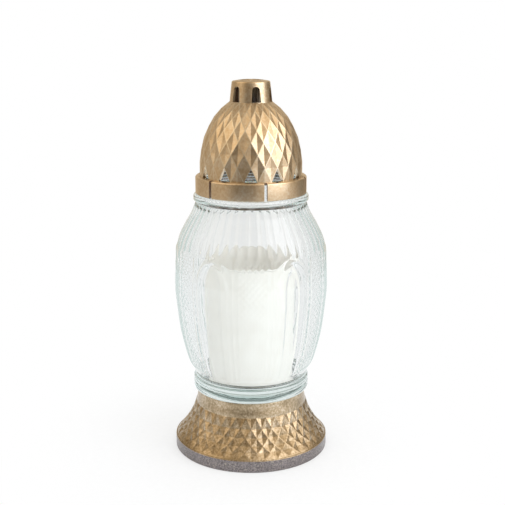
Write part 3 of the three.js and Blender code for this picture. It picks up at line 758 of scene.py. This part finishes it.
# Wick holder. A disc with a drawn neck, pressed in tinplate. It stands on the cup's floor under the
# wax, and its neck is crimped round the wick so that the wick stays upright in the hot wax.
HOLDER_STEPS = 48
HOLDER_EDGE = 0.15
HOLDER_FILLET = ((0.6, 0), (0.1, 0.3), (0, 0.9))
# The neck is crimped by 0.25 mm at 0.6 of its height
HOLDER_NECK_SHARES = ((0, 0.45), (-0.25, 0.6), (0, 0.75), (0, 1))
holder_profile = [
    (wax_bore, HOLDER_TOP),
    (wax_bore, disc_top),
    (0, disc_top),
    (0, WAX_BASE),
    (HOLDER_RADIUS - HOLDER_EDGE, WAX_BASE),
    (HOLDER_RADIUS, WAX_BASE + HOLDER_EDGE),
    (HOLDER_RADIUS, disc_top - HOLDER_EDGE),
    (HOLDER_RADIUS - HOLDER_EDGE, disc_top),
]
holder_profile += [(HOLDER_NECK_RADIUS + out, disc_top + up) for out, up in HOLDER_FILLET]
holder_profile += [
    (HOLDER_NECK_RADIUS + out, lerp(disc_top, HOLDER_TOP, share))
    for out, share in HOLDER_NECK_SHARES
]
holder_profile.append((wax_bore, HOLDER_TOP))
holder_mesh = turn_profile(holder_profile, HOLDER_STEPS)
mark_corners(holder_mesh)
shield_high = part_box("heat_shield")[1]
SHIELD_TOP = shield_high.z / MM
SHIELD_HEAT_DEPTH = 8.0
# Bright tinplate with rolling lines about 0.4 mm apart and 20 mm long. The flame heats the shield's
# top to a straw brown
tin, tree, place = new_finish("rolled_tinplate")
stretched = add(tree, "Mapping", {"Vector": place, "Scale": (1, 0.02, 1)})
rolled = add(tree, "TexNoise", {"Vector": stretched, "Scale": 1 / (0.4 * MM), "Detail": 3.0})
height = add(tree, "SeparateXYZ", {"Vector": place}).outputs["Z"]
low, high = (SHIELD_TOP - SHIELD_HEAT_DEPTH) * MM, SHIELD_TOP * MM
heat = add(tree, "MapRange", {"Value": height, "From Min": low, "From Max": high})
bare = add(tree, "ValToRGB", {"Fac": rolled}, stops=((0.3, "#a9acae"), (0.7, "#c8cacb")))
burnt = add(tree, "ValToRGB", {"Fac": rolled}, stops=((0.3, "#8f8878"), (0.7, "#b3ab99")))
tone = add(tree, "Mix", {"Factor": heat, "A": bare, "B": burnt}, data_type="RGBA")
satin = add(tree, "MapRange", {"Value": rolled, "To Min": 0.22, "To Max": 0.4})
bump = add(tree, "Bump", {"Distance": 0.01 * MM, "Height": rolled})
body = add(
    tree, "BsdfPrincipled",
    {"Base Color": tone, "Metallic": 1.0, "Roughness": satin, "Normal": bump},
)
add(tree, "OutputMaterial", {"Surface": body})
holder = put_together(holder_mesh, "wick_holder_pressed", tin)
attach(holder, "candle")
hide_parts("wick_holder")

# Wick. Three strands of cotton twisted together and primed in wax, cut off square above the fill.
WICK_BASE = wick_low.z / MM
WICK_TIP = wick_high.z / MM
WICK_STRANDS = 3
WICK_LAY = 4.2
WICK_STEPS = 16
STRAND_SIDES = 10
# Three round strands side by side in a round bore of this many of their radii
STRANDS_ACROSS = 2.16
strand_radius = WICK_RADIUS / STRANDS_ACROSS
strand_place = Matrix.Translation((WICK_RADIUS - strand_radius, 0, WICK_BASE))
length = WICK_TIP - WICK_BASE
turns = length / WICK_LAY
steps = round(turns * WICK_STEPS)
wick_mesh = bmesh.new()
for strand in range(WICK_STRANDS):
    ring = bmesh.ops.create_circle(wick_mesh, segments=STRAND_SIDES, radius=strand_radius)["verts"]
    turned = Matrix.Rotation(math.tau * strand / WICK_STRANDS, 4, "Z")
    bmesh.ops.transform(wick_mesh, matrix=turned @ strand_place, verts=ring)
    rim = [edge for edge in wick_mesh.edges if edge.verts[0] in ring and edge.verts[1] in ring]
    bmesh.ops.spin(
        wick_mesh, geom=ring + rim, cent=(0, 0, 0), axis=(0, 0, 1), angle=math.tau * turns,
        steps=steps, dvec=(0, 0, length / steps), use_merge=False,
    )
bmesh.ops.remove_doubles(wick_mesh, verts=wick_mesh.verts[:], dist=WELD)
close_ends(wick_mesh)
smooth(wick_mesh)
mark_corners(wick_mesh)
# Cotton yarn under a thin coat of wax: off-white fibres, 0.15 mm apart, slightly greasy
cotton, tree, place = new_finish("primed_cotton")
fibre = add(tree, "TexNoise", {"Vector": place, "Scale": 1 / (0.15 * MM), "Detail": 3.0})
cream = add(tree, "ValToRGB", {"Fac": fibre}, stops=((0.3, "#d8cfba"), (0.7, "#f3eee0")))
waxed = add(tree, "MapRange", {"Value": fibre, "To Min": 0.55, "To Max": 0.8})
bump = add(tree, "Bump", {"Distance": 0.04 * MM, "Height": fibre})
body = add(tree, "BsdfPrincipled", {"Base Color": cream, "Roughness": waxed, "Normal": bump})
add(tree, "OutputMaterial", {"Surface": body})
wick = put_together(wick_mesh, "wick_twisted", cotton)
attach(wick, "candle")
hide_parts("wick")

# Lid. One moulding in polystyrene, metallised to a lighter brass than the foot: a collar split into
# six segments that grip the neck, a dome of diamonds with twelve vents at its foot, and a turret
# with six slots for the smoke. It is lifted off by hand to change the candle.
lid_low, lid_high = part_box("lid_shell")
LID_BASE = lid_low.z / MM
LID_TOP = lid_high.z / MM
COLLAR_RADIUS = lid_high.x / MM
COLLAR_HEIGHT = 10.9
COLLAR_ROUND = 1.1
COLLAR_SLIT = 2.0
COLLAR_CLEARANCE = 0.4
COLLAR_RIBS = 5
COLLAR_RIB_DEPTH = 0.25
# Each rib of the bore from its top: shares of its pitch, and of its depth
COLLAR_RIB_SHAPE = ((0.4, 0), (0.5, 1), (0.9, 1), (1, 0))
COLLAR_CREST_SHARE = 0.8
COLLAR_LEAD_IN = 1.0
COLLAR_LEAD_SHARE = 0.7
COLLAR_EDGE = 0.3
DOME_RADIUS = 32.1
DOME_STRAIGHT = 5.5
DOME_RISE = 44.1
DOME_RELIEF = 0.8
DOME_LAST_ROW_SHARE = 0.5
DOME_DIAMONDS = 24
DOME_ROWS = 7
DOME_FIRST_ANGLE = 4.1
DOME_LAST_ANGLE = 64.7
LID_WALL = 1.5
VENTS = 12
VENT_MARGIN = 0.2
TURRET_BASE_RADIUS = 13.2
TURRET_TOP_RADIUS = 11.9
TURRET_HEIGHT = 12.9
TURRET_EDGE_ROUND = 1.0
TURRET_SLOTS = 6
SLOT_PHASE = math.radians(15)
SLOT_BASE_WIDTH = 6.0
SLOT_TOP_WIDTH = 4.8
SLOT_HEIGHT = 9.4
SLOT_CORNER = 2.1
SLOT_SILL = 0.4
SLOT_REACH = 3.0
CUT_MARGIN = 1.0
CROWN_BUTTON_RADIUS = 2.0
CROWN_PETALS = 12
CROWN_RELIEF = 0.7
CROWN_RELIEF_RADIUS = 8.5
CROWN_STEPS = 12
STAKE_STEPS = 32
STAKE_RADIUS = 1.6
STAKE_HEAD_RADIUS = 2.8
STAKE_HEAD_HEIGHT = 1.0
STAKE_HEAD_CURVE = 0.8
SHIELD_THICKNESS = 0.4

collar_top = LID_BASE + COLLAR_HEIGHT
dome_centre = collar_top + DOME_STRAIGHT
turret_base = dome_centre + DOME_RISE * math.sin(math.radians(DOME_LAST_ANGLE))
turret_edge = turret_base + TURRET_HEIGHT
crown_rise = LID_TOP - turret_edge
crown_underside = turret_edge - LID_WALL
collar_bore = NECK_RADIUS + COLLAR_CLEARANCE
web_underside = JAR_BASE + neck_top + FIT_GAP


def turret(height):
    """The turret's outer radius at a height."""
    return lerp(TURRET_BASE_RADIUS, TURRET_TOP_RADIUS, (height - turret_base) / TURRET_HEIGHT)


def dome_row(row, inset=0.0):
    """Radius and height of a row of the diamonds' corners, on the dome or further in."""
    angle = math.radians(lerp(DOME_FIRST_ANGLE, DOME_LAST_ANGLE, (row - 1) / (DOME_ROWS - 1)))
    rise = (DOME_RISE - inset) * math.sin(angle)
    return (DOME_RADIUS - inset) * math.cos(angle), dome_centre + rise


lid_inset = DOME_RELIEF + LID_WALL
lid_rings = [
    (turret(crown_underside) - LID_WALL, crown_underside),
    (TURRET_BASE_RADIUS - LID_WALL, turret_base - lid_inset),
]
lid_rings += [dome_row(row, lid_inset) for row in range(DOME_ROWS - 1, 1, -1)]
lid_rings += [
    (DOME_RADIUS - lid_inset, dome_centre),
    (DOME_RADIUS - lid_inset, web_underside),
    (collar_bore, web_underside),
]
rib_pitch = (web_underside - LID_BASE - COLLAR_LEAD_IN) / COLLAR_RIBS
for rib in range(COLLAR_RIBS):
    for share, out in COLLAR_RIB_SHAPE:
        radius = collar_bore - COLLAR_RIB_DEPTH * out
        lid_rings.append((radius, web_underside - (rib + share) * rib_pitch))
lid_rings += [
    (collar_bore + COLLAR_LEAD_IN * COLLAR_LEAD_SHARE, LID_BASE),
    (COLLAR_RADIUS - COLLAR_EDGE, LID_BASE),
    (COLLAR_RADIUS, LID_BASE + COLLAR_EDGE),
]
lid_rings += corner(COLLAR_RADIUS, collar_top, COLLAR_ROUND)
lid_rings.append((DOME_RADIUS, collar_top, 0, 0))
for row in range(1, DOME_ROWS + 1):
    depth = DOME_RELIEF * (DOME_LAST_ROW_SHARE if row == DOME_ROWS else 1)
    lid_rings.append((*dome_row(row), row, depth))
lid_rings.append((TURRET_BASE_RADIUS, turret_base))
lid_rings += corner(TURRET_TOP_RADIUS, turret_edge, TURRET_EDGE_ROUND)
crown_radius = TURRET_TOP_RADIUS - TURRET_EDGE_ROUND
for step in range(1, CROWN_STEPS):
    angle = math.radians(90 * step / CROWN_STEPS)
    rise = crown_rise * math.sin(angle) ** 2
    lid_rings.append((crown_radius * math.cos(angle), turret_edge + rise))
lid_mesh, lid_pattern = stack_rings(2 * DOME_DIAMONDS, lid_rings)
relief_width = CROWN_RELIEF_RADIUS - CROWN_BUTTON_RADIUS
for point in lid_mesh.verts:
    along = (math.hypot(point.co.x, point.co.y) - CROWN_BUTTON_RADIUS) / relief_width
    if point.co.z > turret_edge + HAIR and 0 < along < 1:
        swell = math.sin(math.pi * along)
        point.co.z -= CROWN_RELIEF * swell * (1 - math.cos(CROWN_PETALS * turn_of(point))) / 2
round_ridges(lid_mesh, lid_pattern)
close_ends(lid_mesh)
mark_inside(lid_mesh, collar_bore, web_underside, LID_TOP)
rib_crest = collar_bore - COLLAR_RIB_DEPTH * COLLAR_CREST_SHARE
for face in lid_mesh.faces:
    centre = face.calc_center_median()
    if face.normal.z < -SEAT_LEAN and centre.z < LID_BASE + HAIR:
        # The collar's foot, which stands over the jar's bead
        face.material_index = FLASH
    elif face.material_index == FLASH and centre.xy.length > rib_crest:
        # Between the ribs the bore gets the bare brown: painted shade in the grooves, which leaves
        # dark bands between the bright crests
        face.material_index = BARE
# Darker creases and near-white highlights come from the facets; the tone itself drifts little
lid_brass = metallised(
    "metallised_polystyrene_light",
    ((0.3, "#cfb48c"), (0.5, "#e2cdaf"), (0.7, "#f0e6d4")),
    (0.27, 0.38), speck_size=1.6, speck_depth=0.02,
)
# The edges of the lid's net get a paler metal in flecks of 2 mm: a painted highlight along the
# ridges
ridge_highlight_metal = metallised(
    "painted_highlight_metal_edges", ((0.3, "#e0cfb2"), (0.5, "#efe3cc"), (0.7, "#f8f1e4")), (0.3, 0.42),
    speck_size=2.0, speck_depth=0.01,
)
lid_finishes = (lid_brass, bare_brown, bare_flash, ridge_highlight_metal)
lid = put_together(lid_mesh, "lid_moulding", *lid_finishes)


def prism(bm, outline, inner, outer, turn, finish=0):
    """A cutter that runs outwards from the axis, with its outline of (side, height) upright."""
    corners = [bm.verts.new((side, -inner, height)) for side, height in outline]
    face = bm.faces.new(corners)
    face.material_index = finish
    grown = bmesh.ops.extrude_face_region(bm, geom=[face])["geom"]
    far = [part for part in grown if isinstance(part, bmesh.types.BMVert)]
    bmesh.ops.translate(bm, verts=far, vec=(0, inner - outer, 0))
    bmesh.ops.rotate(bm, verts=corners + far, cent=(0, 0, 0), matrix=Matrix.Rotation(turn, 3, "Z"))


vent_half = DOME_RADIUS * math.sin(math.pi / DOME_DIAMONDS) - VENT_MARGIN
vent_top = dome_row(1)[1] - VENT_MARGIN
vent_outline = [(-vent_half, collar_top), (vent_half, collar_top), (0, vent_top)]
slot_foot = turret_base + SLOT_SILL
corner_side = SLOT_TOP_WIDTH / 2 - SLOT_CORNER
corner_height = slot_foot + SLOT_HEIGHT - SLOT_CORNER
slot_outline = [(-SLOT_BASE_WIDTH / 2, slot_foot), (SLOT_BASE_WIDTH / 2, slot_foot)]
slot_outline += arc(corner_side, corner_height, SLOT_CORNER, 0, 90, 6)
slot_outline += arc(-corner_side, corner_height, SLOT_CORNER, 90, 180, 6)
slit_foot, slit_top = LID_BASE - CUT_MARGIN, collar_top + CUT_MARGIN
slit_outline = [
    (-COLLAR_SLIT / 2, slit_foot),
    (COLLAR_SLIT / 2, slit_foot),
    (COLLAR_SLIT / 2, slit_top),
    (-COLLAR_SLIT / 2, slit_top),
]
cutters = bmesh.new()
for number in range(VENTS):
    turn = math.tau * number / VENTS
    prism(cutters, vent_outline, NECK_BORE_RADIUS - LID_WALL, COLLAR_RADIUS, turn)
for number in range(TURRET_SLOTS):
    turn = SLOT_PHASE + math.tau * number / TURRET_SLOTS
    reach = TURRET_TOP_RADIUS - SLOT_REACH, TURRET_BASE_RADIUS + CUT_MARGIN
    prism(cutters, slot_outline, *reach, turn)
    # The slits' walls get the bare brown: the vapour reached little of them, and the dark brown
    # also paints the shade inside the narrow slits
    prism(cutters, slit_outline, NECK_RADIUS, COLLAR_RADIUS + CUT_MARGIN, turn, finish=BARE)
face_out(cutters)
head_top = SHIELD_TOP - SHIELD_THICKNESS - FIT_GAP
head_foot = head_top - STAKE_HEAD_HEIGHT
stake_mesh = turn_profile([
    (0, head_foot),
    (STAKE_HEAD_RADIUS * STAKE_HEAD_CURVE, head_top - STAKE_HEAD_HEIGHT * STAKE_HEAD_CURVE),
    (STAKE_HEAD_RADIUS, head_top - STAKE_HEAD_HEIGHT / 2),
    (STAKE_HEAD_RADIUS, head_top),
    (STAKE_RADIUS, head_top),
    (STAKE_RADIUS, turret_edge - LID_WALL / 2),
    (0, turret_edge - LID_WALL / 2),
], STAKE_STEPS)
for face in stake_mesh.faces:
    face.material_index = BARE
tools = [
    (put_together(stake_mesh, "stake", *lid_finishes), "UNION"),
    (put_together(cutters, "cutters", *lid_finishes), "DIFFERENCE"),
]
for tool, operation in tools:
    cut = lid.modifiers.new(tool.name, "BOOLEAN")
    cut.object = tool
    cut.operation = operation
    cut.solver = "EXACT"
finished = bpy.data.meshes.new_from_object(lid.evaluated_get(bpy.context.evaluated_depsgraph_get()))
lid.modifiers.clear()
lid.data = finished
for tool, operation in tools:
    bpy.data.objects.remove(tool)
lid_corners = bmesh.new()
lid_corners.from_mesh(finished)
lid_corners.normal_update()
for face in lid_corners.faces:
    if face.material_index == BARE and face.normal.z > CEILING_LEAN:
        # The ledge beside the slits
        face.material_index = 0
mark_corners(lid_corners)
lid_corners.to_mesh(finished)
lid_corners.free()
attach(lid, "lid")
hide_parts("lid_shell")

# Heat shield. A spider of thin tinplate under the crown, blanked and bent in a press: a disc with
# six legs that run down behind the turret's walls and splay over the dome's throat. A stake moulded
# in the crown passes its middle and is melted over. It keeps the flame's heat off the plastic.
SHIELD_RADIUS = 7.4
SHIELD_LEGS = 6
SHIELD_LEG_COLUMNS = 6
SHIELD_LEG_WIDTH = 3.4
SHIELD_LEG_DEPTH = 15.0
SHIELD_TOE_REACH = 6.4
SHIELD_TOE_DROP = 5.2
SHIELD_BEND = 1.0
SHIELD_NOTCH = 0.9
# How a leg bends outwards over its foot, as steps out and up
SHIELD_SPLAY = ((0, SHIELD_BEND), (0.1, 0.2), (0.5, -0.4))

middle = SHIELD_RADIUS - SHIELD_THICKNESS / 2
sheet_middle = SHIELD_TOP - SHIELD_THICKNESS / 2
leg_foot = SHIELD_TOP - SHIELD_LEG_DEPTH
leg_path = arc(middle - SHIELD_BEND, sheet_middle - SHIELD_BEND, SHIELD_BEND, 90, 0, 4)
leg_path += [(middle + out, leg_foot + up) for out, up in SHIELD_SPLAY]
leg_path.append((middle + SHIELD_TOE_REACH, leg_foot - SHIELD_TOE_DROP + SHIELD_THICKNESS))


def leg_frame(point):
    """The leg that a point of the sheet belongs to: its outward and sideways directions, and how
    many columns the point lies beside its middle."""
    along = (turn_of(point) - SLOT_PHASE - math.pi / SHIELD_LEGS) / math.tau * SHIELD_LEGS
    leg = round(along)
    axis = SLOT_PHASE + math.tau * (leg + 0.5) / SHIELD_LEGS
    out = Vector((math.sin(axis), -math.cos(axis), 0))
    side = Vector((math.cos(axis), math.sin(axis), 0))
    return out, side, round((along - leg) * SHIELD_LEG_COLUMNS)


shield_mesh = bmesh.new()
bmesh.ops.create_circle(
    shield_mesh, segments=SHIELD_LEGS * SHIELD_LEG_COLUMNS, radius=STAKE_RADIUS + FIT_GAP,
    matrix=Matrix.Rotation(SLOT_PHASE, 4, "Z"),
)
hole_rim, edges = shield_mesh.verts[:], shield_mesh.edges[:]
disc_rim, edges = grow(shield_mesh, edges)
beside = {}
leg_columns = SHIELD_LEG_COLUMNS - 2
for point in disc_rim:
    out, side, column = leg_frame(point)
    beside[point] = 2 * abs(column)
    if beside[point] < SHIELD_LEG_COLUMNS:
        point.co = out * (middle - SHIELD_BEND) + side * SHIELD_LEG_WIDTH * column / leg_columns
    else:
        point.co *= (middle - SHIELD_BEND) * SHIELD_NOTCH / point.co.length
for point in [*hole_rim, *disc_rim]:
    point.co.z = sheet_middle
edges = [
    edge for edge in edges if all(beside[point] < SHIELD_LEG_COLUMNS for point in edge.verts)
]
for before, after in zip(leg_path, leg_path[1:]):
    fresh, edges = grow(shield_mesh, edges)
    for point in fresh:
        point.co += leg_frame(point)[0] * (after[0] - before[0])
        point.co.z += after[1] - before[1]
face_out(shield_mesh)
smooth(shield_mesh)
shield = put_together(shield_mesh, "shield_spider", tin)
sheet = shield.modifiers.new("sheet", "SOLIDIFY")
sheet.thickness = SHIELD_THICKNESS * MM
sheet.offset = 0
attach(shield, "lid")
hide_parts("heat_shield")

# Table, lamp and camera, in metres. A round white table in a pale studio that is dark where the
# camera stands, with a soft lamp and a canopy at the right, a screen at the left and a backdrop.
TABLE_RADIUS = 0.62
TABLE_SIDES = 96
TABLE_CONTACT = 0.06
TABLE_BLANK = 0.16
TABLE_GLOW = 0.6
CAMERA_PLACE = (0.00095, -0.6204, 0.2753)
CAMERA_TILT = 13.29
CAMERA_LENS = 71.29
FILL_LEVEL = 1.15
WALL_TINT = "#ffe8c6"
WALL_LEVEL = 0.46
CEILING_LEVEL = 0.38
BACKDROP_LEVEL = 0.65
SCREEN_LEVEL = 1.25
CANOPY_LEVEL = 1.15
CORNER_LEVEL = 0.2
OVERHEAD_LEVEL = 0.4
DARK_LEVEL = 0.1
LAMP_PLACE = (0.90, -0.60, 0.57)
LAMP_AIM = (0, 0, 0.12)
LAMP_SIZE = 1.05
LAMP_POWER = 5.6

scene = bpy.context.scene
scene.view_settings.view_transform = "Standard"


def hang(tree, walls, turn, rise, half, edge, level):
    """Lights the walls at another level within half an angle of a direction, which is given by its
    turn from the front to the right and its rise, fading out over edge. All are in degrees."""
    turn, rise, half, edge = map(math.radians, (turn, rise, half, edge))
    aim = math.cos(rise) * math.sin(turn), -math.cos(rise) * math.cos(turn), math.sin(rise)
    direction = add(tree, "TexCoord").outputs["Generated"]
    along = add(tree, "VectorMath", {0: direction, 1: aim}, operation="DOT_PRODUCT")
    share = add(
        tree, "MapRange",
        {"Value": along, "From Min": math.cos(half + edge), "From Max": math.cos(half)},
        interpolation_type="SMOOTHSTEP",
    )
    return add(tree, "Mix", {"Factor": share, "A": walls, "B": level})


def seen_rays(tree, path):
    """1 for rays straight from the camera, through glass, or from a long way inside it."""
    direct = add(
        tree, "Math", {0: path.outputs["Is Camera Ray"], 1: path.outputs["Is Transmission Ray"]},
        operation="MAXIMUM",
    )
    return add(tree, "Math", {0: direct, 1: ran_on(tree, path)}, operation="MAXIMUM")


floor_mesh = bmesh.new()
bmesh.ops.create_circle(
    floor_mesh, segments=TABLE_SIDES, radius=TABLE_RADIUS / MM, cap_ends=True,
)
floor_finish, tree, place = new_finish("matt_white_table")
grain = add(tree, "TexNoise", {"Vector": place, "Scale": 1 / (3 * MM), "Detail": 3.0})
white = add(tree, "ValToRGB", {"Fac": grain}, stops=((0.3, "#e6e6e6"), (0.7, "#ebebeb")))
matt = add(tree, "BsdfDiffuse", {"Color": white})
# The table keeps the lantern's shadow, and fades to the white of the backdrop some way from it
reach = add(tree, "VectorMath", {0: place}, operation="LENGTH")
away = add(
    tree, "MapRange",
    {
        "Value": reach,
        "From Min": TABLE_CONTACT,
        "From Max": TABLE_BLANK,
        "To Min": TABLE_GLOW,
        "To Max": 1.0,
    },
    interpolation_type="SMOOTHSTEP",
)
path = add(tree, "LightPath")
share = add(tree, "Math", {0: seen_rays(tree, path), 1: away}, operation="MULTIPLY")
glow = add(tree, "Emission", {"Color": linear("#ffffff"), "Strength": 1.0})
both = add(tree, "MixShader", {0: share, 1: matt, 2: glow})
add(tree, "OutputMaterial", {"Surface": both})
floor = put_together(floor_mesh, "white_table", floor_finish)

world = bpy.data.worlds.new("pale_studio")
scene.world = world
world.use_nodes = True
tree = world.node_tree
tree.nodes.clear()
path = add(tree, "LightPath")
walls = WALL_LEVEL
for hung in (
    (0, 90, 30, 30, CEILING_LEVEL),
    (180, 0, 20, 30, BACKDROP_LEVEL),
    (126, 0, 12, 16, CORNER_LEVEL),
    (-72, 38, 20, 12, SCREEN_LEVEL),
    (60, 44, 28, 12, CANOPY_LEVEL),
    (-14, -10, 16, 22, DARK_LEVEL),
):
    walls = hang(tree, walls, *hung)
seen = seen_rays(tree, path)
# High overhead the studio is dim, also through the glass
white_room = hang(tree, 1.0, 0, 90, 30, 30, OVERHEAD_LEVEL)
shown = add(tree, "Mix", {"Factor": seen, "A": walls, "B": white_room})
scattered = add(
    tree, "Math", {0: path.outputs["Diffuse Depth"], 1: 0.5}, operation="GREATER_THAN",
)
level = add(tree, "Mix", {"Factor": scattered, "A": shown, "B": FILL_LEVEL})
mirrored = add(
    tree, "Math", {0: path.outputs["Is Glossy Ray"], 1: seen}, operation="GREATER_THAN",
)
tint = add(
    tree, "Mix", {"Factor": mirrored, "A": linear("#ffffff"), "B": linear(WALL_TINT)},
    data_type="RGBA",
)
surround = add(tree, "Background", {"Color": tint, "Strength": level})
add(tree, "OutputWorld", {"Surface": surround})

lamp = bpy.data.lights.new("key_right", "AREA")
lamp.size = LAMP_SIZE
lamp.energy = LAMP_POWER
lamp.color = linear("#f4f8ff")[:3]
stand = bpy.data.objects.new("key_right", lamp)
stand.location = LAMP_PLACE
aim = Vector(LAMP_AIM) - Vector(LAMP_PLACE)
stand.rotation_euler = aim.to_track_quat("-Z", "Y").to_euler()
scene.collection.objects.link(stand)

lens = bpy.data.cameras.new("camera")
lens.sensor_fit = "HORIZONTAL"
lens.sensor_width = 36
lens.lens = CAMERA_LENS
camera = bpy.data.objects.new("camera", lens)
camera.location = CAMERA_PLACE
camera.rotation_euler = (math.radians(90 - CAMERA_TILT), 0, 0)
scene.collection.objects.link(camera)
scene.camera = camera
